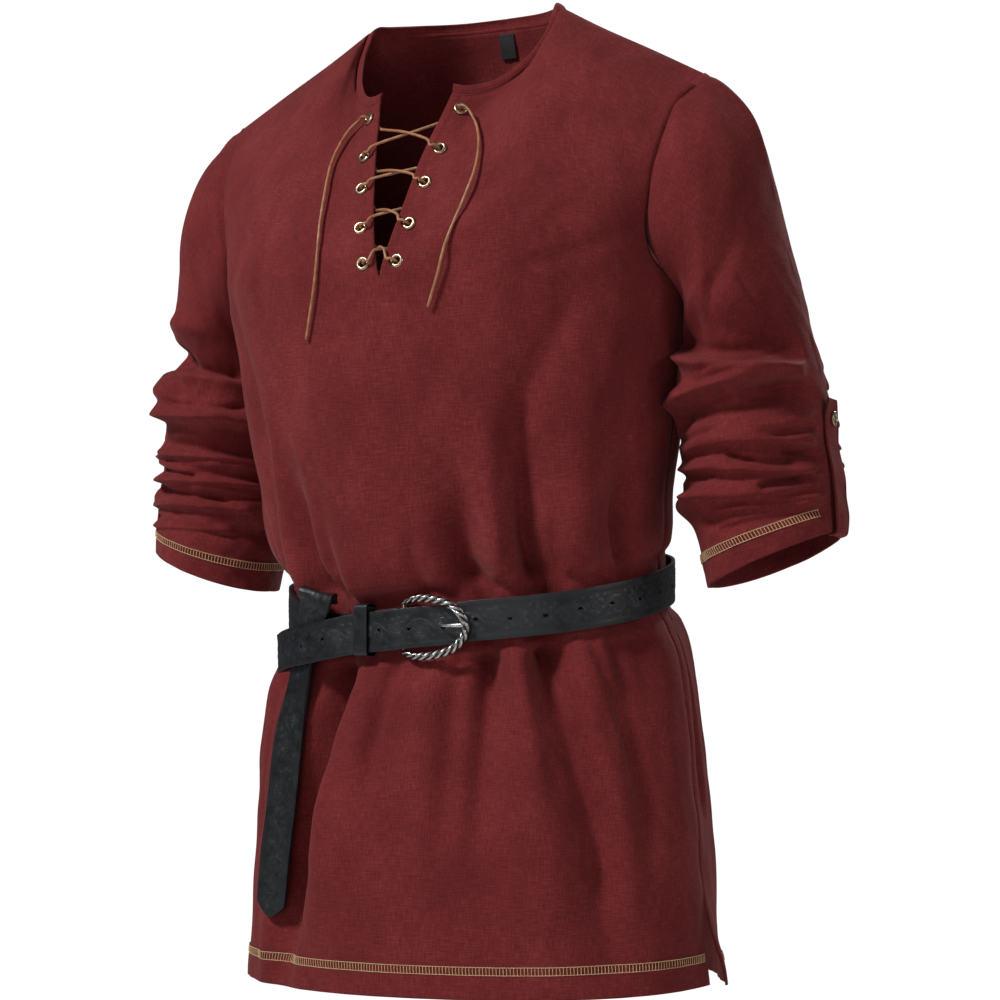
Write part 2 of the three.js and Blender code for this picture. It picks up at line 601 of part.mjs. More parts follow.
// Eyelets: five a side, along the slit
const EYELET_HEIGHTS = [-90, -123, -150, -182, -210];
const eyeletPlaces = { left: [], right: [] };
for (const [side, sign] of [['left', 1], ['right', -1]]) {
  for (const z of EYELET_HEIGHTS) {
    eyeletPlaces[side].push(chestPlace(sign * (slitHalfWidth(z) + EYELET_INSET), z));
  }
}
function standing(geometry, place) {
  const turn = new THREE.Quaternion().setFromUnitVectors(vec(0, 1, 0), place.out);
  return geometry.applyQuaternion(turn).translate(place.at.x, place.at.y, place.at.z);
}
const eyeletProfile = [
  [EYELET.hole, -EYELET.behind],
  [EYELET.barrel, -EYELET.behind],
  [EYELET.barrel, EYELET.lift],
  [EYELET.flange, EYELET.lift],
  [EYELET.flange - 1.2, EYELET.lift + EYELET.rise],
  [EYELET.hole, EYELET.lift + EYELET.rise * 0.6],
].map(([r, y]) => new THREE.Vector2(r, y));
eyeletProfile.push(eyeletProfile[0].clone());
let frontSolid = solid(clothWall('front_panel', CLOTH));
for (const side of ['left', 'right']) {
  eyeletPlaces[side].forEach((place, i) => {
    const ring = standing(new THREE.LatheGeometry(eyeletProfile, 10), place);
    addMesh(`eyelet_${side}_${i + 1}`, ring, 'brass');
    const punch = standing(new THREE.CylinderGeometry(EYELET.cut, EYELET.cut, 12, 8), place);
    frontSolid = frontSolid.subtract(solid(punch));
  });
}
addMesh('front_panel', fromSolid(frontSolid), 'cloth');
for (const piece of ['back_panel', 'sleeve_left', 'sleeve_right', 'neckband']) {
  addMesh(piece, clothWall(piece, CLOTH), 'cloth');
}

// A route whose rings fall on its own listed places
class Route extends THREE.CatmullRomCurve3 {
  getPointAt(t, target) {
    return this.getPoint(t, target);
  }
  getTangentAt(t, target) {
    return this.getTangent(t, target);
  }
}
function roundSection(radius, sides) {
  const section = new THREE.Shape();
  for (let i = 0; i < sides; i++) {
    const a = (2 * Math.PI * i) / sides;
    if (i === 0) section.moveTo(radius, 0);
    else section.lineTo(radius * Math.cos(a), radius * Math.sin(a));
  }
  section.closePath();
  return section;
}
function sweep(section, route, steps) {
  const geometry = new THREE.ExtrudeGeometry(section, { steps, extrudePath: route, curveSegments: 1 });
  geometry.clearGroups();
  return fromSolid(solid(geometry));
}
function cord(places, radius, steps) {
  return sweep(roundSection(radius, 8), new Route(places, false, 'catmullrom', 0.5), steps);
}

// Lacing: one lace from the first eyelet on each side down to the fifth, crossing in the slit.
// It dips through each eyelet from the front and comes back from behind the slit's edge.
const EYELET_PASS = [
  { inwards: 7, out: 4.5, rise: 1 },
  { inwards: 3.6, out: 4.6, rise: 0.6 },
  { inwards: 1, out: 1.7, rise: 0.1 },
  { inwards: 0.8, out: -1.6, rise: 0 },
  { inwards: 2.2, out: -4, rise: 0 },
];
const EXIT_SHARES = [0.25, 0.42, 0.48, 0.5];
const LINK_DEPTH = -4.9;
function offPlace(place, inwards, out, up) {
  return place.at.clone().addScaledVector(place.inwards, inwards)
    .addScaledVector(place.out, out).addScaledVector(place.up, up);
}
// A point in or beside the slit: across from the centre, height, and distance out of the cloth
function slitPlace(x, z, out) {
  const width = slitHalfWidth(z);
  const edge = chestPlace(Math.sign(x || 1) * Math.max(width + 0.2, Math.abs(x)), z);
  const facing = edge.out.clone().setX(Math.abs(x) < width ? 0 : edge.out.x).normalize();
  return vec(x, edge.at.y, z).addScaledVector(facing, out);
}
function halfLace(first) {
  const places = [];
  for (let i = 0; i < 5; i++) {
    const side = (i % 2 === 0) === (first === 'left') ? 'left' : 'right';
    const sign = side === 'left' ? 1 : -1;
    const eyelet = eyeletPlaces[side][i];
    if (i > 0) {
      const last = places[places.length - 1];
      const across = Math.abs(eyelet.at.x - last.x);
      const line = (x) => mix(last.z, eyelet.at.z, Math.abs(x - last.x) / across);
      const width = slitHalfWidth(eyelet.at.z + 8);
      const onTop = side === 'left';
      const leave = -sign * (width - 1.5);
      const reach = sign * (width - 0.5);
      places.push(slitPlace(leave, line(leave) + 0.8, onTop ? -2 : -2.8));
      places.push(slitPlace(0, line(0) + 2, onTop ? 2.8 : -0.4));
      places.push(slitPlace(reach, line(reach) + 2, onTop ? 4 : 3.2));
    }
    for (const pass of i > 0 ? EYELET_PASS : EYELET_PASS.slice(2)) {
      places.push(offPlace(eyelet, pass.inwards, pass.out, pass.rise));
    }
    if (i < 4) {
      const below = eyeletPlaces[side][i + 1];
      const z = mix(eyelet.at.z, below.at.z, EXIT_SHARES[i]);
      places.push(slitPlace(sign * (slitHalfWidth(z) + 1), z, -3.6));
    }
  }
  return places;
}
const LINK_Z = -214;
const laceLink = [8, 0, -8].map((x) => {
  const edge = chestPlace(Math.sign(x || 1) * Math.max(Math.abs(x), 4), LINK_Z);
  const sag = x === 0 ? 2 : 0;
  return vec(x, edge.at.y, LINK_Z - sag).addScaledVector(edge.out.setX(0).normalize(), LINK_DEPTH);
});
const rightHalf = halfLace('right');
const leftHalf = halfLace('left');
const lacePlaces = [...leftHalf, ...laceLink, ...rightHalf.reverse()];
addMesh('lacing', cord(lacePlaces, LACE_RADIUS, lacePlaces.length - 1), 'lace');

// Free ends of the lace: out of the first eyelet of each side, then down over the chest
const LACE_ENDS = {
  left: [
    [39.4, -84.1, -89.2], [40.4, -85.2, -88.6], [43.2, -85.6, -89], [46.8, -85.4, -91.8],
    [51.5, -87, -98.3], [56.4, -90.4, -105.8], [61.3, -96.9, -115], [64.5, -103, -124.5],
    [66.6, -110.2, -136.5], [67, -116.3, -147.2], [65.5, -121, -157], [62.5, -126.8, -171],
    [58.6, -132.8, -186], [54.5, -136, -199], [51.5, -137.8, -211.5], [48.5, -137.4, -222],
    [44.3, -136.6, -233], [39.6, -135.4, -245],
  ],
  right: [
    [-39.4, -84.1, -89.2], [-40.4, -85.2, -88.6], [-43.6, -85, -88.4], [-49.8, -80.2, -90.4],
    [-55.5, -83.6, -96.8], [-58.4, -92.2, -108.7], [-59.6, -101.9, -122.6], [-58.5, -111.3, -138],
    [-56.6, -119.6, -153.5], [-55.2, -127.3, -170.5], [-53.6, -133.5, -187.5], [-53.6, -136.6, -206],
    [-56.1, -136, -224], [-60.9, -133.2, -242.5], [-66.3, -129.6, -261],
  ],
};
for (const [side, places] of Object.entries(LACE_ENDS)) {
  const route = places.map(([x, y, z]) => vec(x, y, z));
  addMesh(`lace_end_${side}`, cord(route, LACE_RADIUS, Math.round(1.6 * (route.length - 1))), 'lace');
}

// Belt: places round the waist, as an angle from the front centre (running to the wearer's
// right and on round), how far the strap's middle stands off the shirt, and how much lower it is
const STRAP_PLACES = [
  { turn: -3.5, off: 3.2, drop: 0 }, { turn: -8, off: 3.2, drop: 0 }, { turn: -16, off: 3.2, drop: 0 },
  { turn: -24, off: 3.2, drop: 0 }, { turn: -32, off: 3.2, drop: 0 }, { turn: -40, off: 3.2, drop: 0 },
  { turn: -48, off: 3.2, drop: -0.5 }, { turn: -56, off: 3.2, drop: -2 }, { turn: -64, off: 3.2, drop: -3 },
  { turn: -72, off: 3.2, drop: -2 }, { turn: -80, off: 3.2, drop: -1 }, { turn: -88, off: 3.2, drop: 0 },
];
for (let turn = -96; turn > -345; turn -= 8) STRAP_PLACES.push({ turn, off: 3.2, drop: 0 });
STRAP_PLACES.push(
  { turn: -348, off: 3.2, drop: 0.6 }, { turn: -352, off: 4.7, drop: 0.8 },
  { turn: -356, off: 6.5, drop: 0.4 },
  { turn: -360, off: 8.2, drop: 0 }, { turn: -366, off: 8.8, drop: 0 }, { turn: -375.5, off: 9, drop: 0 },
  { turn: -382, off: 12.8, drop: 1.5 }, { turn: -388, off: 14.5, drop: 4.3 },
  { turn: -396, off: 14.6, drop: 9.8 },
  { turn: -404, off: 14.2, drop: 16 }, { turn: -411, off: 13.8, drop: 22.6 },
  { turn: -416.5, off: 13.4, drop: 28 },
  { turn: -418, off: 12.4, drop: 29 }, { turn: -418.5, off: 10.1, drop: 29.2 },
  { turn: -418, off: 7.8, drop: 29 },
  { turn: -416.5, off: 6.8, drop: 28 }, { turn: -413.5, off: 6.8, drop: 25.4 },
);
const HOLES_RIGHT = 8;
const HOLES_LEFT = 5;
const PRONG_HOLE = { turn: -352.2, stretch: 2.1 };

// A strap with square edges swept along its middle line; its broad face keeps to one direction
function strapFrames(places, acrossAt) {
  return places.map((at, i) => {
    const before = places[Math.max(i - 1, 0)];
    const after = places[Math.min(i + 1, places.length - 1)];
    const along = after.clone().sub(before).normalize();
    const across = acrossAt(i).clone();
    across.addScaledVector(along, -across.dot(along)).normalize();
    return { at, along, across, out: across.clone().cross(along) };
  });
}
function strapGeometry(frames, halfWidth, thick) {
  const list = [];
  const triangles = [];
  frames.forEach(({ at, across, out }, i) => {
    for (const [w, t] of [[-1, -1], [1, -1], [1, 1], [-1, 1]]) {
      const corner = at.clone().addScaledVector(across, w * halfWidth(i));
      list.push(corner.addScaledVector(out, (t * thick) / 2));
    }
    if (i === 0) triangles.push(0, 1, 2, 0, 2, 3);
    if (i > 0) {
      for (let k = 0; k < 4; k++) {
        const a = 4 * (i - 1) + k;
        const b = 4 * (i - 1) + ((k + 1) % 4);
        triangles.push(b, a, b + 4, b + 4, a, a + 4);
      }
    }
  });
  const end = 4 * (frames.length - 1);
  triangles.push(end, end + 2, end + 1, end, end + 3, end + 2);
  return meshGeometry(list, triangles);
}
const strapPath = STRAP_PLACES.map(({ turn, off, drop }) => {
  const p = bodyPoint(turn, BELT_Z, off);
  return p.setZ(p.z - drop);
});
const strapFrame = strapFrames(strapPath, () => vec(0, 0, 1));
let strapSolid = solid(strapGeometry(strapFrame, () => STRAP.width / 2, STRAP.thick));

// Strap holes, measured along the strap from the one the prong goes through
const strapLengths = [0];
strapPath.forEach((p, i) => {
  if (i > 0) strapLengths.push(strapLengths[i - 1] + p.distanceTo(strapPath[i - 1]));
});
function strapSpot(length) {
  const i = Math.max(1, strapLengths.findIndex((l) => l >= length));
  const t = (length - strapLengths[i - 1]) / (strapLengths[i] - strapLengths[i - 1]);
  const low = strapFrame[i - 1];
  const high = strapFrame[i];
  return {
    at: low.at.clone().lerp(high.at, t),
    out: low.out.clone().lerp(high.out, t).normalize(),
    along: low.along.clone().lerp(high.along, t).normalize(),
  };
}
function lengthAtTurn(turn) {
  const i = STRAP_PLACES.findIndex((place) => place.turn <= turn);
  const t = (turn - STRAP_PLACES[i - 1].turn) / (STRAP_PLACES[i].turn - STRAP_PLACES[i - 1].turn);
  return mix(strapLengths[i - 1], strapLengths[i], t);
}
const prongHoleLength = lengthAtTurn(PRONG_HOLE.turn);
for (let k = -HOLES_RIGHT; k <= HOLES_LEFT; k++) {
  const spot = strapSpot(prongHoleLength + k * STRAP.pitch);
  const radius = k === 0 ? STRAP.hole * 1.4 : STRAP.hole;
  const hole = new THREE.CylinderGeometry(radius, radius, 5, k === 0 ? 8 : 6);
  if (k === 0) hole.scale(PRONG_HOLE.stretch, 1, 1);
  strapSolid = strapSolid.subtract(solid(standing(hole, spot)));
}
addMesh('belt_strap', fromSolid(strapSolid), 'leather');

// Places on the front of the waist by distance from the centre, height and distance out
function waistPlace(x, z, off) {
  const half = lookUp(BODY_SECTIONS, 'z', BELT_Z, 'half') + off;
  const depth = lookUp(BODY_SECTIONS, 'z', BELT_Z, 'front') + off;
  const side = lookUp(BODY_SECTIONS, 'z', BELT_Z, 'side');
  const sine = (Math.abs(x - SWAY) / half) ** (1 / SECTION_SQUARE);
  return vec(x, side - depth * Math.sqrt(1 - sine * sine) ** SECTION_SQUARE, z);
}

// Belt end: hangs behind the front band, rises over it as the knot and folds over the strap
const TAIL_PLACES = [
  { x: -127, y: -81, z: -698, half: 5, turn: 12, lean: 0 },
  { x: -126.3, y: -81, z: -692, half: 11, turn: 12, lean: 0 },
  { x: -125.3, y: -81, z: -684, half: 15, turn: 12, lean: 0 },
  { x: -122, y: -80.8, z: -650, half: 15, turn: 12, lean: 0 },
  { x: -116.5, y: -80, z: -608, half: 15, turn: 12, lean: 0 },
  { x: -111, y: -79, z: -560, half: 15, turn: 14, lean: 0 },
  { x: -104.6, y: -75, z: -518, half: 15, turn: 30, lean: 0 },
  { x: -101, off: 8.7, z: -494, half: 15, turn: 30.5, lean: 0.04 },
  { x: -94.5, off: 8.3, z: -479, half: 14.5, turn: 27, lean: 0.1 },
  { x: -87, off: 10.8, z: -462.5, half: 16, turn: 24, lean: 0.2 },
  { x: -83, off: 12.5, z: -455, half: 18, turn: 20, lean: 0.3 },
  { x: -82, off: 11.7, z: -451, half: 18, turn: 20, lean: 0.3 },
  { x: -81.5, off: 9.6, z: -449, half: 18, turn: 20, lean: 0.3 },
  { x: -81, off: 7.6, z: -451, half: 18, turn: 20, lean: 0.3 },
  { x: -81, off: 6.8, z: -457, half: 18, turn: 20, lean: 0.3 },
];
const tailPath = TAIL_PLACES.map(({ x, y, z, off }) => (y ? vec(x, y, z) : waistPlace(x, z, off)));
const tailFrame = strapFrames(tailPath, (i) => {
  const { turn, lean } = TAIL_PLACES[i];
  return vec(-Math.cos(angle(turn)), Math.sin(angle(turn)), lean);
});
addMesh('belt_tail', strapGeometry(tailFrame, (i) => TAIL_PLACES[i].half, STRAP.thick), 'leather');

// Keeper: a narrow loop round the strap and the band beside the buckle
const KEEPER = { x: -35.3, width: 12, thick: 0.9, inner: 0.25, outer: 12.8, half: 19.8, drop: -1 };
{
  const middle = waistPlace(KEEPER.x, 0, 0);
  const beside = waistPlace(KEEPER.x - 1, 0, 0);
  const along = beside.sub(middle).normalize();
  const out = vec(-along.y, along.x, 0);
  const height = bodyPoint(-12.4, BELT_Z, 3.2).z - KEEPER.drop;
  const box = (w, low, high, tall) => new THREE.BoxGeometry(w, high - low, tall)
    .translate(0, (low + high) / 2, 0);
  const shell = solid(box(KEEPER.width, KEEPER.inner, KEEPER.outer, 2 * KEEPER.half));
  const inside = solid(box(
    KEEPER.width + 2,
    KEEPER.inner + KEEPER.thick,
    KEEPER.outer - KEEPER.thick,
    2 * (KEEPER.half - KEEPER.thick),
  ));
  const turn = new THREE.Matrix4().makeBasis(along, out, vec(0, 0, 1));
  const loop = fromSolid(shell.subtract(inside)).applyMatrix4(turn);
  addMesh('belt_keeper', loop.translate(middle.x, middle.y, height), 'leather');
}

// Buckle: a rope-like horseshoe whose tapered ends carry the bar, and the prong
const RING_PLACES = [
  { x: -3, z: -459, off: 3.8, radius: 1.9 }, { x: 4, z: -456.8, off: 5.7, radius: 2.5 },
  { x: 13, z: -455.5, off: 8, radius: 3.1 }, { x: 24, z: -456.4, off: 9, radius: 3.25 },
  { x: 35, z: -459, off: 9.2, radius: 3.25 }, { x: 44.5, z: -465.5, off: 9.2, radius: 3.25 },
  { x: 49.6, z: -475, off: 9, radius: 3.25 }, { x: 48, z: -485.5, off: 9.2, radius: 3.25 },
  { x: 40, z: -493.5, off: 9.2, radius: 3.25 }, { x: 28, z: -497.6, off: 9, radius: 3.25 },
  { x: 16, z: -499, off: 9.4, radius: 3.1 }, { x: 6, z: -498.4, off: 7.6, radius: 2.5 },
  { x: -3, z: -495, off: 4.4, radius: 1.9 },
];
const BUCKLE_BAR = { x: -3, off: 3.6, radius: 1.4 };
const PRONG_Z = -476.2;
const PRONG_PLACES = [
  { x: -0.6, off: 3 }, { x: 5, off: 2.4 }, { x: 14, off: 2 }, { x: 22, off: 2 }, { x: 26.4, off: 2.9 },
  { x: 28.6, off: 5.2 }, { x: 30.6, off: 8.4 },
  { x: 34, off: 11.4 }, { x: 41, off: 13.4 },
  { x: 49.5, off: 13.8 },
];
const PRONG_RADIUS = 1.2;
const ringRoute = new Route(RING_PLACES.map(({ x, z, off }) => waistPlace(x, z, off)));
const ringTube = new THREE.ExtrudeGeometry(roundSection(1, 8), { steps: 24, extrudePath: ringRoute });
{
  const position = ringTube.attributes.position;
  const p = vec(0, 0, 0);
  const centres = ringRoute.getSpacedPoints(24);
  for (let i = 0; i < position.count; i++) {
    p.fromBufferAttribute(position, i);
    let best = 0;
    centres.forEach((c, k) => {
      if (c.distanceTo(p) < centres[best].distanceTo(p)) best = k;
    });
    const place = (best / 24) * (RING_PLACES.length - 1);
    const low = RING_PLACES[Math.floor(place)];
    const high = RING_PLACES[Math.ceil(place)];
    const radius = mix(low.radius, high.radius, place - Math.floor(place));
    p.sub(centres[best]).multiplyScalar(radius).add(centres[best]);
    position.setXYZ(i, p.x, p.y, p.z);
  }
}
const barTop = waistPlace(BUCKLE_BAR.x, RING_PLACES[0].z, BUCKLE_BAR.off);
const barBottom = waistPlace(BUCKLE_BAR.x, RING_PLACES[RING_PLACES.length - 1].z, BUCKLE_BAR.off);
const bar = new THREE.CylinderGeometry(BUCKLE_BAR.radius, BUCKLE_BAR.radius, barTop.z - barBottom.z, 8)
  .rotateX(Math.PI / 2)
  .translate(barTop.x, barTop.y, (barTop.z + barBottom.z) / 2);
addMesh('buckle_ring', fromSolid(solid(ringTube).add(solid(bar))), 'silver');
const prongPath = PRONG_PLACES.map(({ x, off }) => waistPlace(x, PRONG_Z, off));
const prongEye = new THREE.LatheGeometry([
  [1.7, -2], [2.7, -2], [2.7, 2], [1.7, 2], [1.7, -2],
].map(([r, y]) => new THREE.Vector2(r, y)), 8).rotateX(Math.PI / 2).translate(barTop.x, barTop.y, PRONG_Z);
const prongSolid = solid(cord(prongPath, PRONG_RADIUS, 18)).add(solid(prongEye));
addMesh('buckle_prong', fromSolid(prongSolid), 'silver');

// Roll-up tabs: a strap under the hem and up the outer side of each sleeve, closed by a button
const TAB_UP = [
  { x: 296, z: -368 }, { x: 293, z: -350 }, { x: 290, z: -331 }, { x: 290, z: -304 },
];
const BUTTON = { radius: 5.5, thick: 2, z: -319, gap: 0.3 };
for (const side of ['left', 'right']) {
  const last = SLEEVE_SECTIONS.length - 1;
  const hem = sleevePoint(side, 0, last);
  const inner = [-0.45, -0.2, 0].map((rise) => sleevePoint(side, 0, last + rise, -6.4));
  const lift = HEM_SIDES[side];
  const path = [
    ...inner,
    vec(hem.x - 5, hem.y, hem.z - 2.6),
    vec(hem.x - 2, hem.y, hem.z - 3.6),
    vec(hem.x + 1.4, hem.y, hem.z - 2.4),
    vec(hem.x + 2.4, hem.y, hem.z + 1),
    ...TAB_UP.map(({ x, z }) => vec(x, hem.y, z + lift)),
  ];
  const frames = strapFrames(path, () => vec(0, -1, 0));
  const halfTab = (i) => TAB.width / 2 - (i === path.length - 1 ? 3 : 0);
  const tab = strapGeometry(frames, halfTab, TAB.thick);
  const stand = TAB_UP[TAB_UP.length - 1].x + TAB.thick / 2 + BUTTON.gap + BUTTON.thick / 2;
  const button = new THREE.CylinderGeometry(BUTTON.radius, BUTTON.radius, BUTTON.thick, 14)
    .rotateZ(Math.PI / 2)
    .translate(stand, hem.y, BUTTON.z + lift);
  const turned = side === 'left' ? 1 : -1;
  for (const [name, geometry, finish] of [['sleeve_tab', tab, 'cloth'], ['tab_button', button, 'brass']]) {
    const piece = fromSolid(solid(geometry));
    if (turned < 0) piece.rotateZ(Math.PI).translate(0, 2 * hem.y, 0);
    addMesh(`${name}_${side}`, piece, finish);
  }
}

// Size label: a small woven square inside the back of the neck
const LABEL = { width: 13, thick: 0.8, height: 20, y: 77.6, z: -3, lean: 17.6 };
const label = new THREE.BoxGeometry(LABEL.width, LABEL.thick, LABEL.height)
  .rotateX(angle(LABEL.lean))
  .translate(0, LABEL.y, LABEL.z);
addMesh('size_label', label, 'label');

export default shirt;
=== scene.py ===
"""Renaissance lace-up shirt with its ring belt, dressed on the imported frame.

Lengths in this file are millimetres in the frame's own axes (+Z up, the front faces -Y, the
wearer's left is +X); meshes are written in metres.
"""
from math import cos, pi, radians, sin

import bpy
import numpy as np
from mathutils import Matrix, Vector


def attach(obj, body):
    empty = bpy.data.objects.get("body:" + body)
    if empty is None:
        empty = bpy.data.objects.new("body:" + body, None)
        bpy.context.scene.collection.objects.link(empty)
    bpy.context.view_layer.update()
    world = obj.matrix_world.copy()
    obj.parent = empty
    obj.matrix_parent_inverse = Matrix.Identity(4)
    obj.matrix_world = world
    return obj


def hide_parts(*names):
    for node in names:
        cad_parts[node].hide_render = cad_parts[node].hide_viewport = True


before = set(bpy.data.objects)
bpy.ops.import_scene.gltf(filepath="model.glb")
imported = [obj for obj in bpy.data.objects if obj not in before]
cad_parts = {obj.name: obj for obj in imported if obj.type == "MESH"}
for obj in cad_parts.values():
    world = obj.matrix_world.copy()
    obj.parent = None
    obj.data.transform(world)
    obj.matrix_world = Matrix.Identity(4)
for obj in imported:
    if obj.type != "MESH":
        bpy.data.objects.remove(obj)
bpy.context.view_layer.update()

# Camera
camera_data = bpy.data.cameras.new("camera")
camera_data.lens = 94.6
camera_data.sensor_width = 36
camera_data.shift_x = 0.036
camera_data.shift_y = 0.22
camera = bpy.data.objects.new("camera", camera_data)
camera.location = (0.9307, -1.8266, -0.546)
camera.rotation_euler = (radians(90), 0, radians(27))
bpy.context.collection.objects.link(camera)
bpy.context.scene.camera = camera
bpy.context.scene.view_settings.view_transform = "Standard"


# Small sums


def smooth(low, high, x):
    """0 below low, 1 above high, with a soft S between them."""
    t = np.clip((x - low) / (high - low), 0, 1)
    return t * t * (3 - 2 * t)


def bump(x, width):
    """A bell of height 1 and the given half width."""
    return np.exp(-((x / width) ** 2))


def mix(a, b, t):
    return a + (b - a) * t


def wrapped(degrees):
    return degrees - 360 * np.round(degrees / 360)


def unit(v):
    return v / np.maximum(np.linalg.norm(v, axis=-1, keepdims=True), 1e-9)


def pairs(a, b):
    return np.stack(np.broadcast_arrays(a, b), axis=-1)


def xyz(x, y, z):
    return np.stack(np.broadcast_arrays(x, y, z), axis=-1).astype(float)


def hermite(start, leave, end, arrive, t):
    """A cubic from start to end with its slopes at both."""
    t2, t3 = t * t, t ** 3
    return (start * (2 * t3 - 3 * t2 + 1) + leave * (t3 - 2 * t2 + t)
            + end * (3 * t2 - 2 * t3) + arrive * (t3 - t2))


def smoothed(rows, passes):
    """The rows after each was averaged with its two neighbours so many times; the ends stay."""
    soft = rows.copy()
    for _ in range(passes):
        soft[1:-1] = (soft[:-2] + 2 * soft[1:-1] + soft[2:]) / 4
    return soft


def eased(keys, values, at):
    """A cubic through the rows of a table whose slopes never overshoot."""
    gaps = np.diff(keys)
    slopes = np.diff(values) / gaps
    ends = np.zeros(len(keys))
    ends[0], ends[-1] = slopes[0], slopes[-1]
    both = slopes[:-1] * slopes[1:]
    total = slopes[:-1] + slopes[1:]
    ends[1:-1] = np.where(both > 0, 2 * both / np.where(total == 0, 1, total), 0)
    i = np.clip(np.searchsorted(keys, at) - 1, 0, len(keys) - 2)
    t = np.clip((at - keys[i]) / gaps[i], 0, 1)
    t2, t3 = t * t, t * t * t
    return ((2 * t3 - 3 * t2 + 1) * values[i] + (t3 - 2 * t2 + t) * gaps[i] * ends[i]
            + (3 * t2 - 2 * t3) * values[i + 1] + (t3 - t2) * gaps[i] * ends[i + 1])


def uneven(a, b, wave, seed, count=9):
    """Hand-made unevenness: a sum of waves of about the given length in random directions."""
    rng = np.random.default_rng(seed)
    total = 0
    for _ in range(count):
        way, phase, length = rng.uniform(0, pi), rng.uniform(0, 2 * pi), wave * rng.uniform(0.7, 1.5)
        total = total + np.sin(2 * pi * (a * cos(way) + b * sin(way)) / length + phase)
    return total / count ** 0.5


def spline(places, per_span=60, even=True):
    """Points of a Catmull-Rom curve through the places: centripetal, or with half tension."""
    p = np.asarray(places, float)
    p = np.vstack([2 * p[0] - p[1], p, 2 * p[-1] - p[-2]])
    a, b, c, d = p[:-3], p[1:-2], p[2:-1], p[3:]
    if even:
        da, db, dc = (np.linalg.norm(m, axis=1, keepdims=True) ** 0.5 for m in (b - a, c - b, d - c))
        start = ((b - a) / da - (c - a) / (da + db) + (c - b) / db) * db
        end = ((c - b) / db - (d - b) / (db + dc) + (d - c) / dc) * db
    else:
        start, end = (c - a) / 2, (d - b) / 2
    t = (np.arange(per_span) / per_span)[None, :, None]
    b, c, start, end = (m[:, None, :] for m in (b, c, start, end))
    curve = (b + start * t + (3 * (c - b) - 2 * start - end) * t ** 2
             + (2 * (b - c) + start + end) * t ** 3)
    return np.vstack([curve.reshape(-1, p.shape[1]), p[-2][None]])


def distances(ways):
    return np.linalg.norm(ways, axis=-1)


def lengths(points):
    """How far along its line each point lies."""
    return np.concatenate([[0], np.cumsum(np.linalg.norm(np.diff(points[:, :3], axis=0), axis=1))])


def at_shares(curve, shares):
    """Points of a curve at shares of its length."""
    run = lengths(curve)
    shares = np.asarray(shares, float)
    return np.stack([np.interp(shares * run[-1], run, curve[:, k]) for k in range(curve.shape[1])], -1)


# Mesh writing


def grid_ids(points):
    return np.arange(points.shape[0] * points.shape[1]).reshape(points.shape[:2])


def closed(ids):
    """A grid of point numbers whose last column is its first again."""
    return np.hstack([ids, ids[:, :1]])


def grid_quads(ids):
    return np.stack([ids[:-1, :-1], ids[:-1, 1:], ids[1:, 1:], ids[1:, :-1]], -1).reshape(-1, 4)


def write_piece(name, points, quads, uv=None, away=None, caps=(), marks=None):
    """A mesh object in metres. Where away is given, the quads turn so that they face away from
    it. Caps are further faces, and marks are named numbers, one a point."""
    points = np.asarray(points, float).reshape(-1, 3)
    quads = np.asarray(quads, int)
    if away is not None:
        a, b, c, d = (points[quads[:, k]] for k in range(4))
        away = np.broadcast_to(away, points.shape)
        if np.einsum("ij,ij->", np.cross(c - a, d - b), (a + b + c + d) / 4 - away[quads[:, 0]]) < 0:
            quads = quads[:, ::-1]
    mesh = bpy.data.meshes.new(name)
    mesh.from_pydata((points / 1000).tolist(), [], quads.tolist() + [list(map(int, c)) for c in caps])
    mesh.polygons.foreach_set("use_smooth", np.ones(len(mesh.polygons), bool))
    corners = np.empty(len(mesh.loops), np.int32)
    mesh.loops.foreach_get("vertex_index", corners)
    if uv is not None:
        layer = mesh.uv_layers.new(name="cloth")
        layer.data.foreach_set("uv", (np.asarray(uv).reshape(-1, 2)[corners] / 1000).ravel())
    for mark, values in (marks or {}).items():
        layer = mesh.attributes.new(mark, "FLOAT", "POINT")
        layer.data.foreach_set("value", np.asarray(values, float).ravel())
    mesh.update()
    piece = bpy.data.objects.new(name, mesh)
    bpy.context.collection.objects.link(piece)
    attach(piece, "root")
    return piece


def add_wall(piece, thickness, offset=-1.0):
    """The sheet's thickness, grown inwards."""
    wall = piece.modifiers.new("wall", "SOLIDIFY")
    wall.thickness = thickness / 1000
    wall.offset = offset
    wall.use_rim = True


def add_bevel(piece, width, segments=2, limit=50):
    edge = piece.modifiers.new("edges", "BEVEL")
    edge.width = width / 1000
    edge.segments = segments
    edge.limit_method = "ANGLE"
    edge.angle_limit = radians(limit)
    edge.harden_normals = False


def finish_piece(piece, finish, nodes=()):
    piece.data.materials.append(finish)
    if nodes:
        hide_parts(*nodes)
    return piece


def surface_normals(grid):
    """Unit normals of a grid of points, from its two directions."""
    return unit(np.cross(np.gradient(grid, axis=1), np.gradient(grid, axis=0)))


def carried_frames(path, first=(0, 0, 1)):
    """Two directions square to the path at each point, carried along it without twist."""
    along = unit(np.gradient(path, axis=0))
    side = np.zeros_like(path)
    s = np.asarray(first, float)
    if abs(unit(s) @ along[0]) > 0.9:
        s = np.array([1.0, 0, 0])
    for i, t in enumerate(along):
        s = s - t * (s @ t)
        s = s / np.linalg.norm(s)
        side[i] = s
    return along, side, np.cross(along, side)


def round_ways(angles, side, up):
    """Directions at the angles between side and up: a ring of them for each place."""
    return np.cos(angles)[:, None] * side[..., None, :] + np.sin(angles)[:, None] * up[..., None, :]


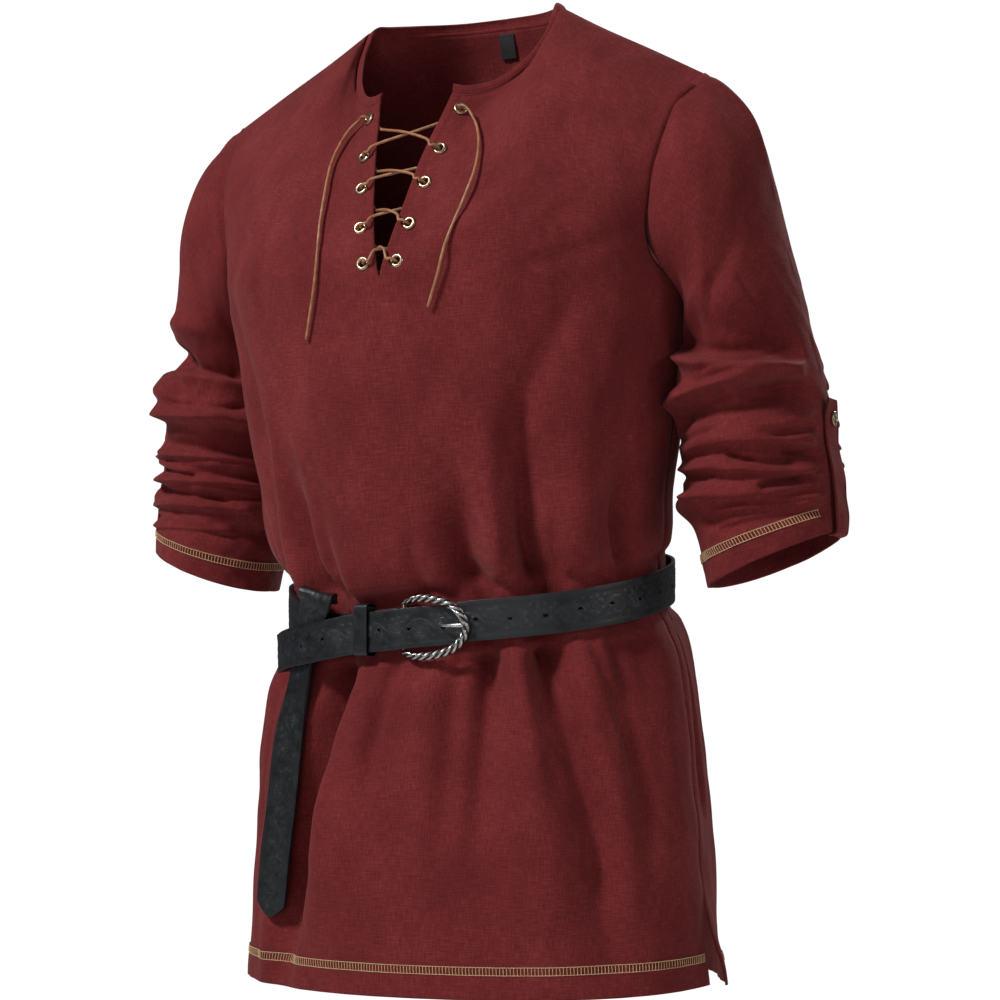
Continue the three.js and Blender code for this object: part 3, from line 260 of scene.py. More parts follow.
def tube(name, path, radius, sides=14, shape=None, first=(0, 0, 1)):
    """A section carried along a path, each end closed as a low dome. The section is a circle, or
    radius times shape(angle, length along)."""
    path = np.asarray(path, float)
    radius = np.broadcast_to(np.asarray(radius, float), len(path))
    along, side, up = carried_frames(path, first)
    run = lengths(path)
    a = np.linspace(0, 2 * pi, sides, endpoint=False)
    share = shape(a[None, :], run[:, None]) if shape else np.ones((len(path), sides))
    rings = path[:, None] + (radius[:, None] * share)[..., None] * round_ways(a, side, up)
    depth = (share.max() - share) / max(float(np.ptp(share)), 1e-6)
    dome = [(k, 0.8 * (1 - k * k) ** 0.5) for k in (0.06, 0.45, 0.8)]
    start = [path[0] + (rings[0] - path[0]) * k - along[0] * radius[0] * push for k, push in dome]
    end = [path[-1] + (rings[-1] - path[-1]) * k + along[-1] * radius[-1] * push for k, push in dome[::-1]]
    rings = np.concatenate([np.array(start), rings, np.array(end)])
    depth = np.vstack([depth[:1]] * 3 + [depth] + [depth[-1:]] * 3)
    run = np.concatenate([[run[0]] * 3, run, [run[-1]] * 3])
    ids = grid_ids(rings)
    return write_piece(name, rings, grid_quads(closed(ids)), uv=pairs(a * radius.mean(), run[:, None]),
                       caps=(ids[0, ::-1], ids[-1]), marks={"crevice": depth})


def turned(name, profile, centre, axis, sides=36):
    """A closed profile of (radius, height) turned about an axis through the centre."""
    profile = np.asarray(profile, float)
    axis = unit(np.asarray(axis, float))
    side = unit(np.cross(axis, (0.3, 0.1, 1.0)))
    up = np.cross(axis, side)
    a = np.linspace(0, 2 * pi, sides, endpoint=False)
    ways = round_ways(a, side, up)
    points = np.asarray(centre) + profile[:, None, :1] * ways + profile[:, None, 1:] * axis
    ids = closed(grid_ids(points))
    ids = np.vstack([ids, ids[:1]])
    middle = np.asarray(centre) + profile[:, 0].mean() * ways + profile[:, 1].mean() * axis
    away = np.broadcast_to(middle[None], points.shape).reshape(-1, 3)
    return write_piece(name, points, grid_quads(ids), away=away)


# Finishes


class Finish:
    """A material with short words for its nodes."""

    def __init__(self, name, **sockets):
        self.material = bpy.data.materials.new(name)
        self.material.use_nodes = True
        self.tree = self.material.node_tree
        self.shader = self.tree.nodes["Principled BSDF"]
        self.set(self.shader, sockets)

    def set(self, node, sockets):
        for key, value in sockets.items():
            socket = node.inputs[key.replace("_", " ")] if isinstance(key, str) else node.inputs[key]
            if isinstance(value, bpy.types.NodeSocket):
                self.tree.links.new(value, socket)
            else:
                socket.default_value = value

    def node(self, kind, sockets=None, **settings):
        made = self.tree.nodes.new("ShaderNode" + kind)
        for key, value in settings.items():
            setattr(made, key, value)
        self.set(made, sockets or {})
        return made

    def place(self, scale, use_uv=False):
        source = self.node("TexCoord").outputs["UV" if use_uv else "Object"]
        return self.node("Mapping", {"Vector": source, "Scale": scale}).outputs["Vector"]

    def noise(self, scale, use_uv=False, detail=3.0, rough=0.55):
        """Noise whose grain is 1 / scale metres in each direction."""
        return self.node("TexNoise", {"Vector": self.place(scale, use_uv), "Scale": 1.0,
                                      "Detail": detail, "Roughness": rough}).outputs["Fac"]

    def sum(self, a, b, way="ADD", clamp=False):
        return self.node("Math", {0: a, 1: b}, operation=way, use_clamp=clamp).outputs[0]

    def ramp(self, value, stops):
        made = self.node("ValToRGB", {"Fac": value})
        points = made.color_ramp.elements
        while len(points) < len(stops):
            points.new(0.5)
        for point, (at, colour) in zip(points, stops):
            point.position = at
            point.color = (*colour, 1)
        return made.outputs["Color"]

    def level(self, value, low, high, to_low=0.0, to_high=1.0):
        return self.node("MapRange", {"Value": value, "From Min": low, "From Max": high,
                                      "To Min": to_low, "To Max": to_high}).outputs["Result"]

    def bump(self, height, distance, strength=1.0, under=None):
        sockets = {"Height": height, "Distance": distance, "Strength": strength}
        if under is not None:
            sockets["Normal"] = under
        return self.node("Bump", sockets).outputs["Normal"]


def cloth_finish():
    """Slubby linen and cotton: long uneven threads across and up, with a soft bloom at grazing
    angles and a little fading over broad patches."""
    f = Finish("brick_linen", Roughness=0.86, Sheen_Weight=0.14, Sheen_Roughness=0.45,
               Sheen_Tint=(0.9, 0.45, 0.42, 1), Specular_IOR_Level=0.22)
    weft = f.noise((95, 1150, 1), use_uv=True, detail=2.5)
    warp = f.noise((1250, 110, 1), use_uv=True, detail=2.5)
    grain = f.noise((1500, 1500, 1500), detail=2.0)
    patches = f.noise((22, 22, 14), detail=3.0)
    threads = f.sum(f.sum(weft, warp), 0.5, "MULTIPLY")
    speck = f.sum(f.sum(threads, 0.72, "MULTIPLY"), f.sum(grain, 0.28, "MULTIPLY"))
    value = f.sum(f.level(speck, 0.3, 0.7), f.level(patches, 0.3, 0.7, -0.16, 0.16), clamp=True)
    dark, mid, bright = (0.098, 0.0085, 0.011), (0.172, 0.017, 0.0185), (0.29, 0.043, 0.043)
    f.set(f.shader, {"Base Color": f.ramp(value, [(0.0, dark), (0.5, mid), (1.0, bright)])})
    fine = f.bump(f.sum(threads, grain), 0.0005, 0.55)
    f.set(f.shader, {"Normal": f.bump(f.noise((75, 75, 75), detail=2.0), 0.0009, 0.5, fine)})
    return f.material


def lace_finish():
    """Waxed tan cord: fine lengthways fibres, darker in patches."""
    f = Finish("waxed_lace", Roughness=0.42, Coat_Weight=0.15, Coat_Roughness=0.35)
    fibre = f.noise((2600, 160, 1), use_uv=True)
    patches = f.noise((160, 160, 160))
    value = f.sum(f.sum(fibre, 0.5, "MULTIPLY"), f.sum(patches, 0.5, "MULTIPLY"))
    dark, mid, bright = (0.17, 0.06, 0.025), (0.42, 0.175, 0.08), (0.62, 0.31, 0.16)
    f.set(f.shader, {"Base Color": f.ramp(value, [(0.3, dark), (0.5, mid), (0.7, bright)]),
                     "Normal": f.bump(fibre, 0.0003, 0.5)})
    return f.material


def leather_finish():
    """Black leather with a bluish bloom, fine grain, scuffed patches, and a painted highlight that lightens
    the raised tooling.
    """
    f = Finish("black_leather", Coat_Weight=0.12, Coat_Roughness=0.3, Specular_IOR_Level=0.55)
    grain = f.node("TexVoronoi", {"Vector": f.place((1, 1, 1)), "Scale": 1500.0},
                   feature="SMOOTH_F1").outputs["Distance"]
    scuff = f.noise((110, 110, 110), detail=5.0, rough=0.65)
    # painted highlight: the raised tooling is made lighter in the colour
    tooling_highlight = f.node("Attribute", attribute_name="tooling").outputs["Fac"]
    value = f.sum(f.level(scuff, 0.35, 0.7, 0, 0.6), f.sum(tooling_highlight, 0.5, "MULTIPLY"), clamp=True)
    dark, mid, bright = (0.004, 0.0048, 0.0065), (0.0095, 0.0112, 0.015), (0.034, 0.039, 0.05)
    f.set(f.shader, {"Base Color": f.ramp(value, [(0.0, dark), (0.55, mid), (1.0, bright)]),
                     "Roughness": f.level(scuff, 0.3, 0.75, 0.34, 0.58),
                     "Normal": f.bump(grain, 0.00025, 0.5, f.bump(scuff, 0.0006, 0.3))})
    return f.material


def metal_finish(name, dark, mid, bright, low, high):
    """Cast metal: dark in the crevices, bright on the rubbed crests, with a slightly pitted face."""
    f = Finish(name, Metallic=1.0)
    pits = f.noise((900, 900, 900), detail=4.0)
    crevice = f.node("Attribute", attribute_name="crevice").outputs["Fac"]
    value = f.sum(f.sum(pits, 0.35, "MULTIPLY"), f.sum(crevice, 0.75, "MULTIPLY"), clamp=True)
    f.set(f.shader, {"Base Color": f.ramp(value, [(0.12, bright), (0.35, mid), (0.8, dark)]),
                     "Roughness": f.level(pits, 0.3, 0.7, low, high),
                     "Normal": f.bump(pits, 0.0002, 0.35)})
    return f.material


def thread_finish():
    """Beige cotton thread with a twist."""
    f = Finish("beige_thread", Roughness=0.75, Sheen_Weight=0.2)
    twist = f.noise((2500, 2500, 2500), detail=1.0)
    dark, bright = (0.46, 0.29, 0.12), (0.88, 0.64, 0.36)
    f.set(f.shader, {"Base Color": f.ramp(twist, [(0.3, dark), (0.7, bright)]),
                     "Normal": f.bump(twist, 0.0003, 0.6)})
    return f.material


def label_finish():
    """Black woven tape: fine crosswise ribs."""
    f = Finish("woven_label", Roughness=0.6, Sheen_Weight=0.1)
    rib = f.noise((300, 300, 3800), detail=1.0)
    dark, bright = (0.004, 0.004, 0.005), (0.016, 0.016, 0.019)
    f.set(f.shader, {"Base Color": f.ramp(rib, [(0.3, dark), (0.7, bright)]),
                     "Normal": f.bump(rib, 0.0003, 0.6)})
    return f.material


CLOTH = cloth_finish()
LACE = lace_finish()
LEATHER = leather_finish()
BRASS = metal_finish("aged_brass", (0.03, 0.02, 0.012), (0.24, 0.17, 0.1), (0.58, 0.46, 0.32),
                     0.26, 0.42)
SILVER = metal_finish("rubbed_silver", (0.02, 0.02, 0.022), (0.36, 0.35, 0.34), (0.78, 0.77, 0.75),
                      0.2, 0.38)
THREAD = thread_finish()
LABEL = label_finish()

# Lace
LACE_RADIUS = 1.1
# The free ends, from inside the top eyelets down
LACE_ENDS = {
    "left": [
        (39.4, -84.1, -89.2), (40.4, -85.2, -88.6), (43.2, -85.6, -89), (46.8, -85.4, -91.8),
        (51.5, -87, -98.3), (56.4, -90.4, -105.8), (61.3, -96.9, -115), (64.5, -103, -124.5),
        (66.6, -110.2, -136.5), (67, -116.3, -147.2), (65.5, -121, -157), (62.5, -126.8, -171),
        (58.6, -132.8, -186), (54.5, -136, -199), (51.5, -137.8, -211.5), (48.5, -137.4, -222),
        (44.3, -136.6, -233), (39.6, -135.4, -245),
    ],
    "right": [
        (-39.4, -84.1, -89.2), (-40.4, -85.2, -88.6), (-43.6, -85, -88.4), (-49.8, -80.2, -90.4),
        (-55.5, -83.6, -96.8), (-58.4, -92.2, -108.7), (-59.6, -101.9, -122.6), (-58.5, -111.3, -138),
        (-56.6, -119.6, -153.5), (-55.2, -127.3, -170.5), (-53.6, -133.5, -187.5), (-53.6, -136.6, -206),
        (-56.1, -136, -224), (-60.9, -133.2, -242.5), (-66.3, -129.6, -261),
    ],
}
for side, places in LACE_ENDS.items():
    path = spline(places, per_span=6, even=False)
    piece = tube(f"free_lace_{side}", path, LACE_RADIUS)
    finish_piece(piece, LACE, [f"lace_end_{side}"])
# The crossed stretch: from the left top eyelet down, and back up to the right top eyelet
LACING = [
    (39.12, -83.65, -89.42), (37.7, -80.96, -90.71), (35.41, -79.83, -91.81), (26.05, -88.06, -99.68),
    (21.06, -90.36, -102.06), (0, -96.5, -108.34), (-22.06, -104.48, -115.72), (-26.24, -107.66, -120.81),
    (-29.52, -106.84, -120.78), (-31.31, -103.75, -122.25), (-30.69, -100.9, -123.79),
    (-28.77, -99.29, -125), (-19.07, -106.53, -135.72), (-15.61, -108.82, -136.76), (0, -114.84, -138.63),
    (16.91, -118.1, -143.41), (20.22, -120.14, -147.37), (23.56, -120.06, -147.67),
    (25.83, -117.35, -149.25), (25.73, -114.35, -150.64), (24.13, -112.3, -151.59),
    (13.92, -118.9, -166.63), (9.68, -120.53, -168.7), (0, -123.95, -170.99), (-10.68, -129.11, -174.49),
    (-13.23, -132.39, -179.09), (-16.69, -132.76, -179.64), (-19.42, -130.32, -181.26),
    (-19.7, -127.26, -182.5), (-18.35, -124.95, -183.23), (-7.51, -129.28, -196.98),
    (-3.55, -131.48, -199.08), (0, -136.35, -198.74), (4.55, -138.22, -201.2), (7.45, -140.43, -208.11),
    (10.77, -140.62, -208.59), (13.28, -137.85, -209.61), (13.47, -134.61, -210.23),
    (12.08, -132.23, -210.56), (8, -131.78, -214.38), (0, -131.74, -216.42), (-8, -131.78, -214.38),
    (-12.08, -132.23, -210.56), (-13.47, -134.61, -210.23), (-13.24, -137.85, -209.61),
    (-10.54, -140.62, -208.59), (-7.07, -140.43, -208.11), (-4.55, -137.44, -201.4),
    (0, -133.26, -199.57), (3.55, -130.7, -199.29), (7.51, -129.28, -196.98), (18.35, -124.95, -183.23),
    (19.7, -127.26, -182.5), (19.45, -130.32, -181.26), (16.88, -132.76, -179.64),
    (13.56, -132.39, -179.09), (10.68, -129.86, -174.21), (0, -126.94, -169.86),
    (-9.68, -121.28, -168.42), (-13.92, -118.9, -166.63), (-24.13, -112.3, -151.59),
    (-25.73, -114.35, -150.64), (-25.81, -117.35, -149.25), (-23.42, -120.06, -147.67),
    (-19.97, -120.14, -147.37), (-16.85, -117.36, -143.7), (0, -111.87, -139.82),
    (15.61, -108.08, -137.07), (19.07, -106.53, -135.72), (28.77, -99.29, -125), (30.69, -100.9, -123.79),
    (31.34, -103.75, -122.25), (29.69, -106.84, -120.78), (26.52, -107.66, -120.81),
    (22.06, -105.21, -115.38), (0, -99.41, -106.99), (-21.06, -91.09, -101.73), (-26.05, -88.06, -99.68),
    (-35.41, -79.83, -91.81), (-37.7, -80.96, -90.71), (-39.09, -83.65, -89.42),
]
crossed = spline(LACING, per_span=6, even=False)
finish_piece(tube("crossed_lacing", crossed, LACE_RADIUS), LACE, ["lacing"])

# Body of the shirt
CLOTH_WALL = 1.3
CHEST_Z = -222
HEM_Z = -745
BELT_Z = -450.5
SLIT_TOP_Z = -670
SEAM_SINK = 0.9
SQUARE = 0.92  # below 1, the oval's corners fill out
# Sections: height, half width, depth of the front and the back, place of the side
SECTIONS = np.array([
    (-745, 193, 130, 126, 18), (-632, 185, 125, 121, 17), (-564, 179, 121, 116.5, 16),
    (-500, 168.5, 115, 111, 17), (-478, 159, 110.5, 108, 17), (-468, 153, 107, 105, 17),
    (-427, 153, 107, 105, 17), (-418, 159, 113, 111, 16), (-404, 163, 116, 112, 12),
    (-363, 169, 121, 111, 7), (-327, 175, 127, 109, 4), (-272, 183, 132, 107, 0),
    (-222, 190, 132, 103, -5),
], float)
HALF, FRONT, BACK, SIDE = 1, 2, 3, 4  # columns of SECTIONS
# Upright folds: angle at the top and bottom, the two heights, width in degrees, rise, fade
FOLDS = [
    (-34, -27, -395, -452, 5.5, -13, 55), (14, 20, -405, -452, 5, -11, 50),
    (33, 37, -380, -452, 6.5, -15, 70), (66, 74, -390, -452, 5.5, -9, 60),
    (-52, -50, -330, -452, 6, -6, 60), (-10, -6, -340, -452, 12, 5, 70), (26, 28, -360, -452, 6, 6, 60),
    (50, 52, -350, -452, 9, 5, 70), (-24, -37, -490, -650, 8, -22, 60), (-12, -20, -490, -640, 9, 6, 80),
    (20, 18, -470, -560, 7, -9, 70), (37, 50, -470, -640, 9, -11, 60), (64, 68, -470, -560, 8, -7, 60),
    (-52, -52, -476, -492, 18, -9, 14), (-3, -3, -474, -482, 17, -6.5, 12),
    (144, 146, -360, -452, 7, -12, 70), (172, 176, -380, -452, 6, -11, 60),
    (-158, -156, -350, -452, 7, -13, 70), (-124, -126, -390, -452, 6, -9, 60),
    (112, 108, -390, -452, 6, -8, 60), (150, 142, -452, -580, 7, -13, 80),
    (-176, -182, -452, -560, 7, -12, 80), (-146, -136, -452, -600, 7, -13, 80),
]
# Finer creases between them, uneven in length and spacing
CREASES = [
    (-31, -28, -405, -440, 3.2, -7, 44), (17, 20, -405, -440, 3, -8, 44),
    (34, 37, -392, -440, 3.4, -9, 56), (66, 71, -400, -440, 3, -6, 40), (4, 7, -400, -440, 7, 3, 50),
    (27, 29, -400, -440, 4, 3, 40), (50, 54, -390, -440, 7, 3, 50), (-44, -42, -395, -440, 5, 3, 50),
    (20, 17, -484, -580, 3.2, -7, 50), (38, 50, -484, -640, 4, -7, 60), (-25, -36, -490, -680, 4, -7, 60),
    (28, 34, -484, -660, 6, 3, 60), (60, 66, -484, -600, 3.4, -5, 50),
    (-40, -38, -350, -440, 3.1, 3.4, 40), (-21, -19, -400, -440, 2.4, -5.4, 26),
    (-15, -13.5, -412, -440, 2.2, 2.5, 18), (3, 4.5, -402, -440, 2.4, -5.8, 22),
    (8.5, 9.5, -414, -440, 2.2, 2.5, 14), (24, 25, -395, -440, 2.6, 3, 26),
    (43, 44, -400, -440, 2.2, -5.8, 22), (57, 60, -398, -440, 2.4, -5.4, 26),
    (-62, -62, -402, -440, 2.5, -5.8, 24), (-73, -74, -380, -440, 3.6, 3.7, 30),
    (-82, -82, -396, -440, 2.4, -6.1, 24), (-17, -23, -486, -610, 3.8, 5.2, 44),
    (-31, -45, -500, -690, 4.1, 5.8, 60), (-5, -9, -484, -560, 2.4, -5.8, 34),
    (4, 3, -484, -540, 3.1, 3.2, 28), (11, 8, -484, -600, 2.8, -5.8, 40),
    (29, 32, -484, -560, 3.4, 3.9, 40), (44, 58, -484, -640, 3.4, 3.7, 44),
    (53, 62, -484, -560, 2.4, -6.1, 30), (-60, -60, -486, -590, 3, -6.8, 44),
    (-70, -71, -486, -560, 3.1, 3.2, 34), (-80, -82, -486, -620, 3, -5.8, 44),
    (100, 98, -484, -580, 3, -6.8, 40), (120, 112, -484, -640, 4.1, 4.6, 50),
    (131, 126, -484, -560, 2.8, -6.8, 34), (160, 154, -484, -620, 3.8, 4.6, 50),
    (-166, -158, -484, -590, 3, -6.8, 40), (-120, -112, -484, -640, 3.4, -8.5, 56),
    (-104, -100, -484, -570, 3.4, 3.7, 36), (102, 101, -396, -440, 2.6, -6.8, 26),
    (124, 126, -380, -440, 3.6, 4.1, 34), (134, 135, -402, -440, 2.2, -5.8, 20),
    (160, 163, -396, -440, 2.6, -6.8, 26), (-169, -168, -400, -440, 2.9, 3.4, 24),
    (-146, -144, -386, -440, 3.1, 4.1, 30), (-136, -134, -404, -440, 2.2, -5.8, 20),
    (-110, -111, -392, -440, 3.1, 3.9, 28), (-97, -97, -402, -440, 2.4, -6.1, 22),
    (48, 30, -236, -330, 5, -3.7, 40), (62, 52, -250, -330, 4.8, 2.3, 36),
    (-58, -46, -240, -330, 5, -3.7, 40), (150, 160, -240, -330, 6, -4.4, 40),
    (-150, -160, -250, -340, 6, -4.1, 40), (118, 128, -236, -320, 6, 2.5, 34),
]


def section(column, z):
    return eased(SECTIONS[:, 0], SECTIONS[:, column], z)


def body_relief(turn, z, folds=tuple(FOLDS)):
    """How far the body stands off its plain section: a sum of upright folds, pressed flat under
    the belt."""
    rise = 0
    for top, bottom, start, stop, width, height, fade in folds:
        line = mix(top, bottom, np.clip((z - start) / (stop - start), 0, 1))
        past = np.maximum(np.maximum(z - start, stop - z), 0)
        rise = rise + height * bump(wrapped(turn - line), width) * bump(past, fade)
    return mix(rise, np.minimum(rise * 0.35, 0), smooth(34, 23, np.abs(z - BELT_Z)))


def body_point(turn, z, out=None):
    """A point of the body by its angle from the front centre and its height at the side: a
    squared oval that tilts and dips with the belt near the waist."""
    turn, z = np.broadcast_arrays(np.asarray(turn, float), np.asarray(z, float))
    if out is None:
        out = body_relief(turn, z)
    a = np.radians(turn)
    sx = np.sign(np.sin(a)) * np.abs(np.sin(a)) ** SQUARE
    sy = np.sign(np.cos(a)) * np.abs(np.cos(a)) ** SQUARE
    depth = np.where(np.cos(a) > 0, section(FRONT, z), section(BACK, z))
    tilt = smooth(-262, -425, z) * (1 - smooth(-480, -650, z))
    y = section(SIDE, z) - sy * (depth + out)
    dip = 9.5 * bump(wrapped(turn + 27), 26)
    return xyz(sx * (section(HALF, z) + out) + 5 * smooth(-380, -450, z), y,
               z + (0.24 * y - dip) * tilt - 7 * np.cos(a) * smooth(-600, HEM_Z, z))


UNDERARM = body_point(90.0, CHEST_Z)
SLIT_EDGE = spline([(0.6, -136.5, -222), (2.6, -136.5, -213), (7.7, -131, -190), (12, -124, -170),
                    (19.4, -108, -130), (31, -80, -77)])
FRONT_NECK = spline([(31, -80, -77), (40, -76, -78), (58, -60, -72), (74, -40, -54), (84, -18, -28),
                     (85, 0, 0)])
BACK_NECK = spline([(0, 77, 11), (34, 68, 9), (63, 43, 5), (79, 20, 2), (85, 0, 0)])
SHOULDER = spline([(85, 0, 0), (118, 0, -19), (160, 0, -41), (206, 0, -66)])
FRONT_ARMHOLE = spline([UNDERARM, (181, -42, -209), (179, -57, -188), (183, -60, -155), (188, -52, -122),
                        (194, -29, -88), (206, 0, -66)])
BACK_ARMHOLE = spline([UNDERARM, (183, 40, -210), (183, 66, -188), (185, 74, -155), (189, 62, -120),
                       (195, 33, -88), (206, 0, -66)])
BACK_CENTRE = spline([body_point(180.0, CHEST_Z), (0, 101, -160), (0, 98, -90), (0, 90, -30), (0, 77, 11)])
# share is where the neck ends and the shoulder starts, between the centre line and the armhole;
# over is how far the cubic runs back over the shoulder
PANELS = {
    "front": dict(centre=SLIT_EDGE, neck=FRONT_NECK, armhole=FRONT_ARMHOLE, share=8 / 15,
                  facing=-1, over=105),
    "back": dict(centre=BACK_CENTRE, neck=BACK_NECK, armhole=BACK_ARMHOLE, share=5 / 12,
                 facing=1, over=120),
}


def half_panel(u, v, face):
    """Half a panel above the chest: a cubic from the chest row (v = 0) to the neck and shoulder
    (v = 1), with what it lacks at the centre line (u = 0) and the armhole (u = 1) added across,
    and the kink below the neck's shoulder end smoothed away."""
    p = PANELS[face]
    share = p["share"]

    def core(u):
        low = body_point(90 * u if face == "front" else 180 - 90 * u, CHEST_Z)
        high = np.where((u < share)[:, None], at_shares(p["neck"], np.clip(u / share, 0, 1)),
                        at_shares(SHOULDER, np.clip((u - share) / (1 - share), 0, 1)))
        on = smooth(0, 1, u / share)
        over = xyz(0, -p["facing"] * mix(40, p["over"], on), mix(60, -14, on))
        rise = np.array([0, -p["facing"] * 24, 120])
        return hermite(low, rise, high, over, v[:, None, None])

    level = u * u / (u + 0.1) if face == "back" else u
    inner = (at_shares(p["centre"], v)[:, None] - core(np.zeros(1))) * ((1 - level) ** 2)[None, :, None]
    outer = (at_shares(p["armhole"], v)[:, None] - core(np.ones(1))) * u[None, :, None]
    half = core(u) + inner + outer
    soft = smoothed(half.swapaxes(0, 1), 80).swapaxes(0, 1)
    fading = smooth(1.0, 0.78, v)[:, None] * bump(u - share, 0.22)
    return mix(half, soft, fading[..., None])


# Eyelets beside the slit: middle and out direction
EYELETS = {
    "left": [
        ((39.12, -81.79, -90), (0.476, -0.796, 0.375)),
        ((31.84, -102.01, -123), (0.25, -0.859, 0.446)),
        ((26.67, -115.74, -150), (0.088, -0.915, 0.394)),
        ((20.46, -128.8, -182), (-0.019, -0.939, 0.342)),
        ((14.27, -136.19, -210), (-0.002, -0.988, 0.157)),
    ],
}
EYELETS["right"] = [((-x, y, z), (-i, j, k)) for (x, y, z), (i, j, k) in EYELETS["left"]]


def punch(points, quads, centre, out, barrel=2.95, reach=6.0, deep=8):
    """Opens a round hole: points within reach of its axis move outwards, so that none is left
    inside the barrel, and the face that lay over the axis goes."""
    centre, out = np.asarray(centre, float), unit(np.asarray(out, float))

    def from_axis(places):
        height = (places - centre) @ out
        return places - centre - height[:, None] * out, np.abs(height)

    flat, height = from_axis(points)
    r = distances(flat)
    near = (r < reach) & (height < deep)
    beside, height = from_axis(points[quads].mean(axis=1))
    over_axis = np.where(height > deep, np.inf, distances(beside)).argmin()
    moved = points.copy()
    new_r = barrel + r * (reach - barrel) / reach
    moved[near] += flat[near] / np.maximum(r[near], 1e-6)[:, None] * (new_r - r)[near, None]
    return moved, np.delete(quads, over_axis, axis=0)


HALF_COLUMNS = 84
EVEN_SHARES = np.linspace(0, 1, HALF_COLUMNS + 1)
FRONT_SHARES = 0.36 * EVEN_SHARES + 0.64 * EVEN_SHARES ** 2  # closer together towards the slit
ROW_HEIGHTS = np.concatenate([np.arange(HEM_Z, -719, 1.5), np.linspace(-718.5, CHEST_Z, 156)])
UPPER_SHARES = np.linspace(0, 1, 55)
HEM_EDGE = HEM_Z + 24.5
CLOTH_PER_DEGREE = 3.0
# Creases hanging from the shoulder seam: distance from the centre, spread, spacing, depth
NECK_CREASES = [(30, 26, 11, 1.3), (55, 16, 9, 1.0), (88, 20, 10, 1.1), (120, 18, 9, 0.8)]
# Slanting creases over the chest: x and z of the start and the end, half width, rise
CHEST_STROKES = [
    (60, -175, 128, -110, 9, -2.0), (96, -200, 150, -150, 8, 1.6), (110, -222, 168, -196, 7, -1.8),
    (40, -200, 92, -168, 8, 1.2), (-62, -170, -122, -120, 9, -1.8), (-90, -205, -160, -170, 8, -1.6),
    (-112, -190, -150, -140, 7, 1.4),
]


def cloth_relief(turn, z):
    """The folds and creases of the body, and the cloth's unevenness away from the belt."""
    reach = turn * 3.1
    belt = smooth(20, 34, np.abs(z - BELT_Z))
    relief = body_relief(turn, z) + body_relief(turn, z, CREASES)
    return relief + belt * (0.55 * uneven(reach, z, 60, 11) + 0.28 * uneven(reach, z * 0.6, 22, 12))


def side_edge(turn, z, back):
    """Degrees to the side seam, and how far the side slit has opened at the height."""
    return 90 - np.abs(wrapped(turn - (180 if back else 0))), smooth(SLIT_TOP_Z, HEM_Z, z)


def open_slit(points, edge, opened, back, push):
    """Spreads the back at the side slit, and pushes the front and the back apart."""
    if back:
        points[..., 0] += np.sign(points[..., 0]) * 12 * opened * bump(edge, 9)
    points[..., 1] += (1 if back else -1) * push * bump(edge, 3)


def upper_relief(half, back, sign):
    """Unevenness and sunk seams above the chest; in front also the stitched strip beside the slit
    and the creases below the shoulder and over the chest."""
    x, z = half[..., 0], half[..., 2]
    to_arm, to_top, to_slit = (distances(half - edge) for edge in (half[:, -1:], half[-1:], half[:, :1]))
    rise = 0.5 * uneven(x, z, 55, 21 + back) + 0.25 * uneven(x, z, 20, 23 + back)
    rise = rise * smooth(0, 12, to_arm) * smooth(0, 10, to_top)
    rise = rise - SEAM_SINK * bump(to_arm, 2.4) - SEAM_SINK * bump(to_top, 2.4)
    if back:
        return rise
    strip = 0.35 * smooth(6.6, 5.8, to_slit) - 0.55 * bump(to_slit - 6.8, 0.8)
    rise = rise * smooth(5, 14, to_slit) + strip * smooth(3, 8, z - CHEST_Z)
    for place, spread, spacing, depth in NECK_CREASES:
        crook = bump(np.sin((np.abs(x) - place + 0.35 * to_top) / spacing), 0.5) * bump(to_top - 26, 20)
        rise -= depth * crook * smooth(0, 14, to_top) * bump(np.abs(x) - place, spread)
    for x0, z0, x1, z1, width, height in CHEST_STROKES:
        if sign * x0 > 0:
            run, climb = x1 - x0, z1 - z0
            t = ((x - x0) * run + (z - z0) * climb) / (run ** 2 + climb ** 2)
            beside = np.abs((x - x0) * climb - (z - z0) * run) / np.hypot(run, climb)
            rise += height * bump(beside, width) * smooth(-0.15, 0.25, t) * smooth(1.15, 0.75, t)
    return rise


